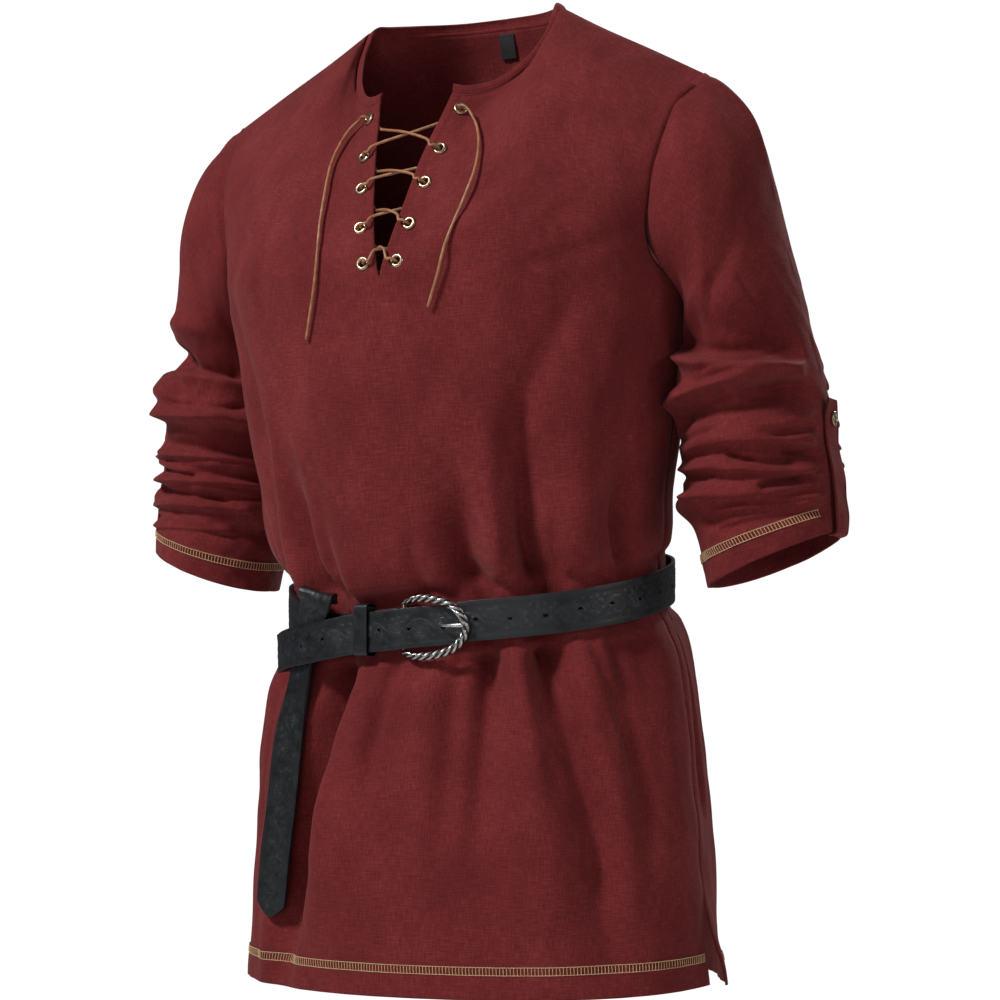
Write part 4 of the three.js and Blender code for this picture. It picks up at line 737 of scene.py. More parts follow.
def panel(face):
    """The front or the back: one grid up to the chest row, then a grid on each side of the centre.
    Seams sink a little at the edges, hems stand up, and the slit has a stitched strip. The back
    turns from 90 to 270 degrees, so the wearer's left comes first."""
    back = face == "back"
    shares = EVEN_SHARES if back else FRONT_SHARES
    turns = np.concatenate([-90 * shares[::-1], 90 * shares[1:]]) + (180 if back else 0)
    z, turn = (m.copy() for m in np.broadcast_arrays(ROW_HEIGHTS[:, None], turns))
    edge, opened = side_edge(turn, z, back)
    relief = cloth_relief(turn, z)
    relief += 0.45 * smooth(HEM_EDGE, HEM_EDGE - 1, z) - 0.3 * bump(z - HEM_EDGE, 1.2)
    relief -= SEAM_SINK * bump(edge * 3, 2.2) * (1 - smooth(SLIT_TOP_Z + 12, SLIT_TOP_Z, z))
    low = body_point(turn, z, relief)
    open_slit(low, edge, opened, back, 0.3 * (opened > 0) + 1.5 * opened)
    ids = grid_ids(low)
    uppers, quads, uvs = [], [grid_quads(ids)], [pairs(turn * CLOTH_PER_DEGREE, z).reshape(-1, 2)]
    count, n, top = ids.size, HALF_COLUMNS, len(low) - 1
    upper = half_panel(shares, UPPER_SHARES, face)
    centre_share = 1 if back else smooth(0.0, 0.1, shares)
    for sign in (1, -1):
        half = upper * (sign * (-1 if back else 1), 1, 1)
        own = np.arange(n, 2 * n + 1) if sign > 0 else np.arange(n, -1, -1)
        half = half + (low[-1, own] - half[0]) * ((1 - UPPER_SHARES) ** 3)[:, None, None]
        column = np.concatenate([low[:, own], half[1:]])
        row = np.arange(len(column)) - top
        weight = bump(row, 9)[:, None] * (smooth(1.0, 0.88, shares) * centre_share)
        column = mix(column, smoothed(column, 40), weight[..., None])
        low[:, own], half = column[:top + 1], column[top:]
        facing = surface_normals(half)
        if np.sum(facing[..., 1]) * (1 if back else -1) < 0:
            facing = -facing
        rise = upper_relief(half, back, sign) * smooth(0, 3, row[top:])[:, None]
        half = (half + facing * rise[..., None])[1:]
        new = count + grid_ids(half)
        if back and sign < 0:
            new[:, 0] = centre_ids
        centre_ids = new[:, 0].copy()
        faces = grid_quads(np.vstack([ids[-1, own][None], new]))
        quads.append(faces if sign > 0 else faces[:, ::-1])
        uppers.append(half.reshape(-1, 3))
        uvs.append(pairs(turn[-1, own] * CLOTH_PER_DEGREE,
                         CHEST_Z + 175 * UPPER_SHARES[1:, None]).reshape(-1, 2))
        count += new.size
    used, quads = np.unique(np.vstack(quads), return_inverse=True)
    return np.vstack([low.reshape(-1, 3), *uppers])[used], quads.reshape(-1, 4), np.vstack(uvs)[used]


INSIDE = np.array([0, 10, 0])
for face in ("front", "back"):
    points, quads, uv = panel(face)
    if face == "front":
        for side in ("left", "right"):
            for centre, out in EYELETS[side]:
                points, quads = punch(points, quads, centre, out)
    away = points * (0, 0, 1) + INSIDE
    piece = write_piece(f"{face}_cloth", points, quads, uv=uv, away=away)
    add_wall(piece, CLOTH_WALL)
    finish_piece(piece, CLOTH, [f"{face}_panel"])

# Neckband
BAND_START, BAND_HEIGHT, BAND_WALL = -1.2, 8, 1.7


def neck_line():
    """The neck seam from the slit's left corner round the back to its right corner."""
    front = at_shares(FRONT_NECK, np.linspace(0, 1, 90))
    back = at_shares(BACK_NECK, np.linspace(0, 1, 60))
    left = np.vstack([front, back[::-1][1:]])
    left = mix(left, smoothed(left, 20), bump(lengths(left) - lengths(front)[-1], 9)[:, None])
    return np.vstack([left, (left * (-1, 1, 1))[::-1][1:]])


def neckband():
    """A narrow bound strip standing up from the neck seam: rounded across, rolled over at its
    upper edge, with a row of stitching sunk above the seam."""
    line = neck_line()
    front, back = smooth(0, -78, line[:, 1]), smooth(0, 70, line[:, 1])
    side = 1 - front - back
    lean = -np.sign(line[:, 0]) * (0.7 * side + 0.35 * front * smooth(20, 60, np.abs(line[:, 0])))
    up = unit(xyz(lean, 0.35 * front - 0.28 * back, 0.55 + 0.4 * (front + back)))
    along = unit(np.gradient(line, axis=0))
    out = unit(np.cross(along, up))
    if np.sum(out[:40] @ np.array([0, -1.0, 0.4])) < 0:
        out = -out
    across = np.linspace(BAND_START, BAND_HEIGHT, 17)
    rise = 0.75 * np.sin(pi * np.clip(across / BAND_HEIGHT, 0, 1)) ** 0.7
    rise = rise - 0.7 * bump(across, 0.9) - 0.35 * bump(across - 2.0, 0.5)
    run = lengths(line)
    lift = rise[:, None] + 0.18 * uneven(run, run * 0, 30, 31) * (across > 1)[:, None]
    points = line + across[:, None, None] * up + lift[..., None] * out
    return points, pairs(run, across[:, None]), out


points, uv, band_out = neckband()
piece = write_piece("neckband_cloth", points, grid_quads(grid_ids(points)), uv=uv,
                    away=(points - 5 * band_out).reshape(-1, 3))
add_wall(piece, BAND_WALL)
add_bevel(piece, 0.5, 2, 60)
finish_piece(piece, CLOTH, ["neckband"])

# Sleeves
# Rings from the armhole down: height of the outer and inner side, centre x and y, half width
# and depth
RINGS = np.array([
    (-172, -248, 221, 14, 33, 62), (-212, -272, 222, 20, 41, 64), (-250, -298, 224, 24, 48, 66),
    (-285, -325, 227, 27, 54, 66), (-320, -350, 231, 29, 56, 66), (-350, -380, 235, 30, 56, 63),
    (-376, -408, 241, 31, 53, 57), (-402, -442, 246, 31, 50, 51),
], float)
LAST_RING = len(RINGS) - 1
# Folds round a sleeve: the angles it runs between (0 outside, 90 front), the height at its
# start, middle and end, half width, rise
SLEEVE_FOLDS = {
    "left": [
        (22, 150, -276, -288, -266, 9, 7), (22, 140, -258, -262, -250, 15, -9),
        (25, 165, -300, -318, -322, 8, -7), (60, 185, -306, -316, -312, 9, 6),
        (20, 175, -340, -349, -352, 8, -6), (20, 170, -356, -368, -374, 8, -5),
        (100, 200, -378, -386, -388, 9, 9), (20, 150, -378, -392, -398, 8, -7),
        (95, 170, -170, -215, -245, 16, 6), (40, 100, -150, -205, -235, 18, -6),
        (200, 338, -262, -284, -270, 9, 7), (195, 340, -318, -310, -300, 8, -7),
        (190, 338, -350, -346, -336, 8, -6), (190, 338, -384, -380, -364, 8, -6),
    ],
    "right": [
        (-25, 80, -262, -270, -285, 9, 10), (-25, 95, -240, -246, -262, 8, -8),
        (50, 160, -196, -214, -220, 8, -7), (35, 140, -218, -230, -232, 8, 6),
        (20, 130, -292, -305, -300, 11, 7), (20, 165, -308, -324, -330, 8, -7),
        (20, 100, -336, -340, -344, 8, -4), (80, 190, -346, -350, -354, 8, -7),
        (20, 150, -364, -374, -376, 8, -6), (60, 190, -384, -392, -394, 8, -6),
        (200, 335, -256, -266, -250, 9, 7), (195, 338, -316, -308, -298, 8, -7),
        (190, 338, -350, -342, -334, 8, -6), (190, 338, -384, -378, -364, 8, -6),
    ],
}
# Finer creases round a sleeve, in the same columns
SLEEVE_CREASES = {
    "left": [
        (24, 64, -266, -246, -220, 5, -4.5), (128, 174, -184, -206, -234, 6, 4),
        (22, 165, -289, -299, -319, 5, 3), (20, 165, -298, -309, -329, 4, -5.5),
        (14, 130, -350, -356, -372, 3, -5), (12, 120, -377, -383, -390, 3, -5),
        (16, 155, -266, -277, -259, 5, -7), (16, 155, -275, -287, -268, 3.6, 3),
        (18, 110, -272, -284, -290, 3, -7.4), (14, 80, -318, -330, -332, 4, 4.4),
        (14, 60, -328, -336, -338, 2.6, -5.9), (14, 95, -333, -343, -346, 3.5, 4.4),
        (14, 70, -345, -352, -356, 2.6, -6.6), (30, 140, -346, -360, -362, 3.5, 4.4),
        (14, 74, -360, -370, -374, 2.6, -6.9), (14, 90, -366, -378, -380, 3.5, 4),
        (90, 175, -332, -338, -334, 3, -6.6), (100, 180, -362, -366, -360, 3, -6.6),
        (70, 150, -296, -304, -300, 4.2, 4.4), (60, 130, -286, -298, -306, 4, -7.4),
        (40, 130, -180, -210, -226, 5, -4.3), (60, 140, -196, -226, -244, 5, 2.9),
        (196, 330, -276, -290, -284, 3.4, -6.6), (200, 330, -300, -302, -290, 3.8, 4.4),
        (200, 344, -330, -328, -318, 3.8, 4.4), (240, 345, -340, -338, -328, 2.6, -6.6),
        (200, 345, -360, -358, -350, 3.8, 4.4), (240, 345, -370, -366, -356, 2.6, -6.6),
        (200, 300, -214, -236, -230, 6, -4.9), (220, 320, -190, -214, -206, 7.5, 3.3),
    ],
    "right": [
        (20, 150, -246, -262, -276, 5, -6), (30, 150, -286, -296, -312, 5, 3.5),
        (20, 160, -318, -326, -338, 4, -5.5), (16, 140, -350, -358, -368, 3, -5),
        (16, 120, -379, -386, -392, 3, -5), (14, 84, -254, -262, -276, 3.4, -7.4),
        (14, 96, -268, -282, -290, 4, 4.4), (40, 150, -204, -222, -226, 4.2, 3.7),
        (16, 110, -300, -314, -318, 3.8, 4.4), (14, 80, -318, -330, -334, 2.8, -6.6),
        (14, 96, -328, -340, -346, 3.5, 4.4), (14, 70, -346, -354, -358, 2.6, -6.9),
        (14, 90, -354, -366, -368, 3.5, 4.2), (14, 74, -372, -380, -384, 2.6, -6.6),
        (90, 180, -338, -342, -340, 3.8, 4.4), (96, 180, -364, -366, -362, 3, -6.6),
        (60, 150, -286, -296, -292, 3.4, -6.6), (30, 120, -170, -200, -214, 5, -4.3),
        (196, 330, -280, -290, -280, 3.4, -6.6), (200, 330, -300, -300, -288, 3.8, 4.4),
        (200, 344, -330, -326, -316, 3.8, 4.4), (240, 345, -342, -336, -326, 2.6, -6.6),
        (200, 345, -362, -356, -348, 3.8, 4.4), (240, 345, -372, -366, -354, 2.6, -6.6),
        (200, 300, -214, -236, -230, 6, -4.9), (220, 320, -190, -214, -206, 7.5, 3.3),
    ],
}
# Lapped folds, sharp on one side: angles, heights, half widths above and below the line, rise
SLEEVE_LAPS = {
    "left": [
        (6, 158, -277, -283, -264, 18, 2.6, -9), (6, 158, -280, -286, -268, 2.4, 6, 2.5),
        (10, 172, -293, -303, -321, 10, 2.4, 5), (14, 160, -299, -309, -328, 3, 13, -6),
        (8, 152, -346, -343, -351, 7, 1.9, 4), (40, 96, -355, -358, -350, 2.4, 3.4, -5),
        (8, 52, -353, -352, -349, 2, 3, -4.5), (8, 168, -365, -364, -357, 6, 1.9, 4),
        (38, 74, -369, -373, -377, 2.4, 3.6, -5), (8, 150, -380, -384, -379, 6.5, 1.9, 4),
        (20, 140, -386, -391, -397, 5, 1.9, 3.5), (8, 120, -392, -398, -408, 3, 6, -3.5),
        (196, 340, -268, -280, -264, 12, 2.6, -6), (200, 340, -300, -308, -290, 8, 2.4, 4),
        (200, 350, -334, -330, -322, 7, 2, 4), (196, 350, -352, -348, -340, 6, 2, 4),
        (200, 350, -366, -364, -354, 6, 2, 4), (204, 350, -384, -380, -368, 6, 2, 3.5),
    ],
    "right": [
        (6, 150, -252, -262, -272, 16, 2.6, -8), (10, 160, -256, -266, -276, 2.4, 6, 2.5),
        (10, 165, -290, -302, -308, 10, 2.4, 5), (12, 160, -296, -309, -316, 3, 12, -6),
        (8, 160, -326, -332, -338, 7, 1.9, 4), (8, 100, -334, -342, -350, 2.4, 3.4, -5),
        (8, 165, -346, -352, -358, 6, 1.9, 4), (30, 130, -356, -362, -370, 2.4, 3.4, -5),
        (8, 150, -366, -372, -378, 6, 1.9, 4), (8, 140, -382, -388, -394, 5, 1.9, 3.5),
        (196, 340, -262, -276, -262, 12, 2.6, -6), (200, 340, -298, -304, -288, 8, 2.4, 4),
        (200, 350, -332, -328, -318, 7, 2, 4), (196, 350, -350, -344, -336, 6, 2, 4),
        (200, 350, -368, -362, -352, 6, 2, 4), (204, 350, -382, -376, -366, 6, 2, 3.5),
    ],
}
HEM_SIDES = {"left": -4, "right": 2}


def sleeve_relief(folds, turn, z, ends=0.22):
    """Folds that run round the sleeve along a bent line, swelling in and out at their ends. A row
    has one half width, or one above the line and one below it."""
    rise = 0
    for start, stop, first, middle, last, *widths, height in folds:
        at = np.where((turn > 340) & (start < 0), turn - 360, turn)
        t = np.clip((at - start) / (stop - start), 0, 1)
        line = (1 - t) ** 2 * first + t * t * last + 2 * t * (1 - t) * (2 * middle - (first + last) / 2)
        width = np.where(z > line, widths[0], widths[-1])
        rise = rise + height * bump(z - line, width) * smooth(0, ends, t) * smooth(0, ends, 1 - t)
    return rise


def body_reach(y, z):
    """Half the body's width beside a point, which presses the sleeve's inner side flat."""
    side = section(SIDE, z)
    depth = np.where(y < side, section(FRONT, z), section(BACK, z))
    share = np.minimum(np.abs(y - side) / depth, 1) ** (1 / SQUARE)
    return section(HALF, z) * np.sqrt(1 - share * share) ** SQUARE


def sleeve_point(side, turn, row, off=0.0, fine=True):
    """A point of the sleeve below its cap by angle and ring number: an oval between two rings,
    slanting down towards the body, with the folds added."""
    turn, row = np.broadcast_arrays(np.asarray(turn, float), np.asarray(row, float))
    a = np.radians(turn)
    outer, inner, x, y, wide, deep = (eased(np.arange(len(RINGS)), RINGS[:, k], row) for k in range(6))
    sag = -5 * np.maximum(np.sin(a), 0) + HEM_SIDES[side] * smooth(4, LAST_RING, row)
    z = (outer + inner) / 2 + (outer - inner) / 2 * np.cos(a) + sag * smooth(3, LAST_RING, row)
    out = off + sleeve_relief(SLEEVE_FOLDS[side], turn, z) * (
        1 - 0.75 * smooth(LAST_RING - 0.7, LAST_RING - 0.2, row)) * smooth(-0.2, 0.8, row)
    if fine:
        to_hem = LAST_RING - row
        beside_tab = smooth(12, 30, turn) * smooth(350, 332, turn)
        laps = 1.35 * beside_tab * sleeve_relief(SLEEVE_LAPS[side], turn, z, 0.12)
        creases = 0.55 * sleeve_relief(SLEEVE_CREASES[side], turn, z)
        out = out + (laps + creases) * smooth(0.3, 0.75, to_hem) * smooth(0, 1, row)
        around = turn * 1.05
        slack = 0.5 * uneven(around, z, 45, 41) + 0.25 * uneven(around, z, 17, 42)
        out = out + slack * smooth(0, 1.2, row)
        out = out + 0.45 * smooth(0.72, 0.69, to_hem) - 0.3 * bump(to_hem - 0.73, 0.03)
    px = x + np.cos(a) * (wide + out)
    py = y - np.sin(a) * (deep + out)
    reach = body_reach(py, z) + 2.5 * smooth(-230, -275, z)
    return xyz(np.maximum(px, reach), py, z)


SEAM_TUCK = 5.0
SLEEVE_COLUMNS = 190
CAP_ROWS = 30
FOLD_ROWS, HEM_ROWS, HEM_START = 150, 22, 0.85


def sleeve(side):
    """A row tucked under the body's cloth, cap rows (a cubic from each armhole point out and down
    to the first ring), then rings."""
    turns = np.linspace(0, 360, SLEEVE_COLUMNS + 1)
    a = np.radians(turns)
    start = np.where((turns <= 180)[:, None], at_shares(FRONT_ARMHOLE, np.clip(1 - turns / 180, 0, 1)),
                     at_shares(BACK_ARMHOLE, np.clip(turns / 180 - 1, 0, 1)))
    end = sleeve_point(side, turns, 0.0)
    after = sleeve_point(side, turns, 0.5, fine=False)
    span = np.linalg.norm(end - start, axis=1, keepdims=True)
    leave = unit(xyz(0.725 + 0.25 * np.cos(a) - 0.125 * np.cos(2 * a), -0.35 * np.sin(a),
                     -0.5325 + 0.215 * np.cos(a) - 0.1825 * np.cos(2 * a)))
    leave = leave * span * (1 + 0.45 * np.maximum(np.cos(a), 0))[:, None]
    arrive = unit(after - end) * span
    cap = hermite(start, leave, end, arrive, np.linspace(0, 1, CAP_ROWS)[:, None, None])
    rows = np.concatenate([np.linspace(0, LAST_RING - HEM_START, FOLD_ROWS)[1:],
                           np.linspace(LAST_RING - HEM_START + 0.03, LAST_RING, HEM_ROWS)])
    rings = sleeve_point(side, turns[None, :], rows[:, None])
    tucked = start - SEAM_TUCK * unit(leave)
    points = np.concatenate([tucked[None], cap, rings])
    row = np.arange(len(points))[:, None]
    points = mix(points, smoothed(points, 30), bump(row - CAP_ROWS, 7)[..., None])
    facing = surface_normals(points)
    middle = points.mean(axis=1, keepdims=True)
    if np.sum(facing * (points - middle)) < 0:
        facing = -facing
    to_seam = distances(points - points[1:2])
    run = turns[None, :] * 1.1 + 0 * to_seam
    gathers = np.sin(run / 6.5 + 1.2 * np.sin(run / 19)) * bump(wrapped(turns), 75)
    slack = uneven(run, to_seam, 45, 43) * smooth(2, 14, to_seam) * smooth(CAP_ROWS + 6, CAP_ROWS - 8, row)
    rise = 1.1 * bump(to_seam - 7, 7) * gathers + 0.5 * slack - SEAM_SINK * bump(to_seam, 2.4)
    points = points + facing * rise[..., None]
    length = np.concatenate([[-SEAM_TUCK], np.linspace(0, 120, CAP_ROWS), 120 + rows * 34])
    return points, pairs(run, length[:, None])


for side, sign in (("left", 1), ("right", -1)):
    points, uv = sleeve(side)
    points = points * (sign, 1, 1)
    middle = points.mean(axis=1, keepdims=True) + 0 * points
    ids = grid_ids(points)
    ids[:, -1] = ids[:, 0]
    piece = write_piece(f"sleeve_cloth_{side}", points, grid_quads(ids), uv=uv, away=middle.reshape(-1, 3))
    add_wall(piece, CLOTH_WALL)
    finish_piece(piece, CLOTH, [f"sleeve_{side}"])

# Tabs and snap buttons


def strap_surface(path, across, half, columns, wave):
    """A flat strap along a path: points across it, with its out direction. The across direction
    is kept square to the path, and wave lifts the face by so much at each length and width."""
    along = unit(np.gradient(path, axis=0))
    across = unit(across - along * np.sum(across * along, axis=1, keepdims=True))
    out = np.cross(across, along)
    w = np.broadcast_to(half, len(path))[:, None] * np.linspace(-1, 1, columns)
    run = lengths(path)[:, None]
    points = path[:, None] + w[..., None] * across[:, None] + wave(run, w)[..., None] * out[:, None]
    return points, out, pairs(w, run)


def resample(path, step):
    run = lengths(path)
    return at_shares(path, np.linspace(0, 1, max(int(run[-1] / step), 2) + 1))


def write_strap(name, points, out, uv, thickness, finish, nodes, edge, marks=None, holes=()):
    quads = grid_quads(grid_ids(points))
    flat = points.reshape(-1, 3)
    for centre, normal, radius in holes:
        flat, quads = punch(flat, quads, centre, normal, radius, radius * 2.2)
    piece = write_piece(name, flat, quads, uv=uv, marks=marks,
                        away=(flat.reshape(points.shape) - 5 * out[:, None]).reshape(-1, 3))
    add_wall(piece, thickness, 0.0)
    add_bevel(piece, edge)
    return finish_piece(piece, finish, nodes)


TAB_TOP = [(296, -368), (293, -350), (290, -331), (290, -304)]
TAB_Y = 31
TAB_FACE_X = 291
BUTTON_Z = -319
SNAP_RIM = [(5.5, 0.2), (5.5, 1.1), (5.2, 1.7), (4.6, 2.0), (4.0, 1.7), (3.7, 1.0), (2.4, 0.8), (0.4, 0.9),
            (0.4, 0.15), (5.2, 0.0)]
SNAP_MIDDLE = [(0.05, 0.75), (0.05, 1.5), (0.9, 1.45), (1.3, 1.1), (1.4, 0.75)]


def tab_face(run, w):
    """Unevenness, and a row of stitching sunk beside each edge."""
    return 0.35 * uneven(run, w, 28, 51) - 0.3 * bump(np.abs(w) - 10.3, 0.6)


def snap_dots(side, sign, middle):
    """A circle of small beads in the socket of the snap button."""
    number, radius, bead_radius, out = 10, 2.5, 0.55, 1.15
    angle = 2 * pi * np.arange(number) / number
    places = middle + xyz(out * sign, radius * np.cos(angle), radius * np.sin(angle))
    u, v = np.meshgrid(np.linspace(0, 2 * pi, 7)[:-1], np.linspace(0.15, pi - 0.15, 5))
    bead = bead_radius * xyz(np.cos(v), np.sin(v) * np.cos(u), np.sin(v) * np.sin(u))
    ids = np.arange(number * u.size).reshape(number, *u.shape)
    quads = np.vstack([grid_quads(closed(own)) for own in ids])[:, ::-1]
    caps = [own[0] for own in ids] + [own[-1, ::-1] for own in ids]
    dots = write_piece(f"snap_dots_{side}", places[:, None, None] + bead, quads, caps=caps)
    finish_piece(dots, BRASS)


for side, sign, hem_z, inner in (
        ("left", 1, -406, [(288.7, -393.9), (289.2, -400.7), (289.6, -406)]),
        ("right", -1, -400, [(288.7, -388.5), (289.2, -394.8), (289.6, -400)])):
    lift = HEM_SIDES[side]
    bend = [(291, hem_z - 2.6), (294, hem_z - 3.6), (297.4, hem_z - 2.4), (298.4, hem_z + 1)]
    places = [(x * sign, TAB_Y, z) for x, z in inner + bend + [(x, z + lift) for x, z in TAB_TOP]]
    path = resample(spline(places, 20, even=True), 1.2)
    run = lengths(path)
    half = 12.5 * np.minimum(1, 0.76 + 0.24 * ((run[-1] - run) / 8))
    points, out, uv = strap_surface(path, xyz(0 * run, -1.0 * sign, 0), half, 25, tab_face)
    write_strap(f"tab_cloth_{side}", points, out, uv, 1.8, CLOTH, [f"sleeve_tab_{side}"], 0.45)
    stand = np.array([(TAB_FACE_X + 0.3) * sign, TAB_Y, BUTTON_Z + lift])
    way = (sign, 0, 0)
    rim = turned(f"snap_button_{side}", SNAP_RIM, stand, way, 40)
    finish_piece(rim, BRASS, [f"tab_button_{side}"])
    finish_piece(turned(f"snap_socket_{side}", SNAP_MIDDLE, stand, way, 24), BRASS)
    snap_dots(side, sign, stand)

# Eyelets
EYELET_RING = [(2.5, -2.3), (2.95, -2.3), (2.95, 0.1), (5.0, 0.15), (5.35, 0.45), (5.25, 0.9), (4.75, 1.35),
               (4.1, 1.6), (3.4, 1.5), (2.8, 1.1), (2.5, 0.5)]
for side, sets in EYELETS.items():
    for number, (centre, out) in enumerate(sets, 1):
        ring = turned(f"eyelet_ring_{side}_{number}", EYELET_RING, centre, out, 36)
        finish_piece(ring, BRASS, [f"eyelet_{side}_{number}"])

# Belt


def tooling(run, w):
    """Embossed leaf scrolls: a wavy stem with a spiral in each bend, lobed leaves round each spiral, and a
    bead between; inside a plain margin. Heights in millimetres; the second value is a mask of the raised
    tooling, used for a painted highlight."""
    cell, coil = 19.0, 1.9
    number = np.floor(run / cell)
    turn = np.where(number % 2 == 0, 1, -1)
    x = (run / cell - number - 0.5) * cell
    stem = 0.8 * bump(w - 5.4 * np.sin(pi * run / cell), 0.75)
    y = w * turn + 1.6
    r, a = np.hypot(x, y), np.arctan2(y, x)
    coils = (r - coil * a / (2 * pi)) / coil
    spiral = bump((coils - np.round(coils)) * coil, 0.42) * smooth(4.4, 3.6, r)
    lobe = 6.4 + 1.5 * np.cos(7 * a + 0.8)
    veins = 0.75 - 0.45 * bump(np.sin(3.5 * a + 0.4), 0.22)
    leaf = smooth(4.2, 4.9, r) * smooth(lobe + 0.5, lobe - 0.4, r) * veins
    bead = bump(np.hypot(np.abs(x) - cell / 2, np.abs(w) - 7.6), 1.1)
    tool = np.maximum.reduce([stem, spiral, leaf, bead])
    ground = smooth(12.2, 10.6, np.abs(w))
    return ground * (tool * 0.4 - 0.2), tool * ground


STRAP_WIDTH, STRAP_OFF, LEATHER_THICK = 30, 3.2, 2.9
STRAP_COLUMNS = 39
# The strap's course: angle round the waist, distance off it, drop
STRAP_PLACES = np.array(
    [(-3.5, STRAP_OFF, 0)] + [(t, STRAP_OFF, 0) for t in range(-8, -41, -8)]
    + [(t, STRAP_OFF, drop) for t, drop in zip(range(-48, -81, -8), (-0.5, -2, -3, -2, -1))]
    + [(t, STRAP_OFF, 0) for t in range(-88, -345, -8)]
    + [(-348, 3.2, 0.6), (-352, 4.7, 0.8), (-356, 6.5, 0.4), (-360, 8.2, 0), (-366, 8.8, 0), (-375.5, 9, 0),
       (-382, 12.8, 1.5), (-388, 14.5, 4.3), (-396, 14.6, 9.8), (-404, 14.2, 16), (-411, 13.8, 22.6),
       (-416.5, 13.4, 28), (-418, 12.4, 29), (-418.5, 10.1, 29.2), (-418, 7.8, 29), (-416.5, 6.8, 28),
       (-413.5, 6.8, 25.4)], float)
PER_PLACE = 24
strap_path = body_point(STRAP_PLACES[:, 0], BELT_Z, STRAP_PLACES[:, 1]) - STRAP_PLACES[:, 2:] * (0, 0, 1)
strap_curve = spline(strap_path, PER_PLACE, even=False)
curve_run = lengths(strap_curve)
# Rows: coarse round the back, finer before the front band, finest along it
FRONT_BAND, BEFORE_BAND = 235, 190
band_start = curve_run[-1] - FRONT_BAND
finer_start = band_start - BEFORE_BAND
steps = np.concatenate([np.arange(0, finer_start, 3.0), np.arange(finer_start, band_start, 1.0),
                        np.linspace(band_start, curve_run[-1], 290)])
belt_line = np.stack([np.interp(steps, curve_run, strap_curve[:, k]) for k in range(3)], -1)


def cupping(w):
    return 0.25 * (2 * w / STRAP_WIDTH) ** 4


def belt_face(run, w):
    """Embossing away from the strap's start, and a slight cupping towards its edges."""
    return tooling(run, w)[0] * smooth(0, 14, run) - cupping(w)


points, out, uv = strap_surface(belt_line, xyz(0, 0, 1.0 + 0 * steps), STRAP_WIDTH / 2, STRAP_COLUMNS,
                                belt_face)
PRONG_ANGLE, HOLE_GAP, HOLE_RADIUS, PRONG_HOLE_RADIUS = 352.2, 26, 1.75, 2.6
prong_run = np.interp(PRONG_ANGLE, -STRAP_PLACES[:, 0], curve_run[::PER_PLACE])
holes = []
for k in range(-8, 6):
    at = prong_run + HOLE_GAP * k
    spot, facing = ([np.interp(at, steps, rows[:, i]) for i in range(3)] for rows in (belt_line, out))
    holes.append((spot, facing, PRONG_HOLE_RADIUS if k == 0 else HOLE_RADIUS))
# the tooling mark paints a highlight on the raised tooling
marks = {"tooling": tooling(uv[..., 1], uv[..., 0])[1]}
write_strap("belt_leather", points, out, uv, LEATHER_THICK, LEATHER, ["belt_strap"], 0.55,
            marks, holes)


def waist_place(x, z, off):
    """A place on the front of the waist by distance from the centre, height and distance out."""
    half, depth = section(HALF, BELT_Z) + off, section(FRONT, BELT_Z) + off
    sine = (np.abs(x - 5) / half) ** (1 / SQUARE)
    return xyz(x, section(SIDE, BELT_Z) - depth * np.sqrt(1 - sine * sine) ** SQUARE, z)


# The hanging end, from its tip up: x, y (0 where the next one counts), distance off the waist, z,
# half width, turn, lean
TAIL = np.array([
    (-127, -81, 0, -698, 3, 12, 0), (-126.3, -81, 0, -692, 10.5, 12, 0),
    (-125.3, -81, 0, -684, 14.6, 12, 0), (-122, -80.8, 0, -650, 15, 12, 0),
    (-116.5, -80, 0, -608, 15, 12, 0), (-111, -79, 0, -560, 15, 14, 0), (-104.6, -75, 0, -518, 15, 30, 0),
    (-101, 0, 8.7, -494, 15, 30.5, 0.04), (-94.5, 0, 8.3, -479, 14.5, 27, 0.1),
    (-87, 0, 10.8, -462.5, 16, 24, 0.2), (-83, 0, 12.5, -455, 18, 20, 0.3),
    (-82, 0, 11.7, -451, 18, 20, 0.3), (-81.5, 0, 9.6, -449, 18, 20, 0.3),
    (-81, 0, 7.6, -451, 18, 20, 0.3), (-81, 0, 6.8, -457, 18, 20, 0.3),
], float)
on_waist = waist_place(TAIL[:, 0], TAIL[:, 3], TAIL[:, 2])
tail_places = np.where(TAIL[:, 1:2] != 0, TAIL[:, [0, 1, 3]], on_waist)
across = xyz(-np.cos(np.radians(TAIL[:, 5])), np.sin(np.radians(TAIL[:, 5])), TAIL[:, 6])
tail = spline(np.hstack([tail_places, TAIL[:, 4:5], across]), 30, even=False)
run = lengths(tail)
tail = at_shares(tail, np.linspace(0, 1, int(run[-1] / 0.8)))
run = lengths(tail)
TIP_LENGTH, STEP_IN = 13, 6
tip = np.clip(run / TIP_LENGTH, 0, 1)
rounded = STRAP_WIDTH / 2 * np.sqrt(np.clip(1 - (1 - tip) ** 2, 0.01, 1))
half = np.where(tip < 1, np.minimum(tail[:, 3], rounded), tail[:, 3])
points, out, uv = strap_surface(tail[:, :3], tail[:, 4:7], half, STRAP_COLUMNS,
                                lambda r, w: tooling(r + STEP_IN, w)[0] * smooth(6, 16, r) - cupping(w))
# the tooling mark paints a highlight on the raised tooling
marks = {"tooling": tooling(uv[..., 1] + STEP_IN, uv[..., 0])[1]}
write_strap("belt_end_leather", points, out, uv, LEATHER_THICK, LEATHER, ["belt_tail"], 0.55,
            marks)

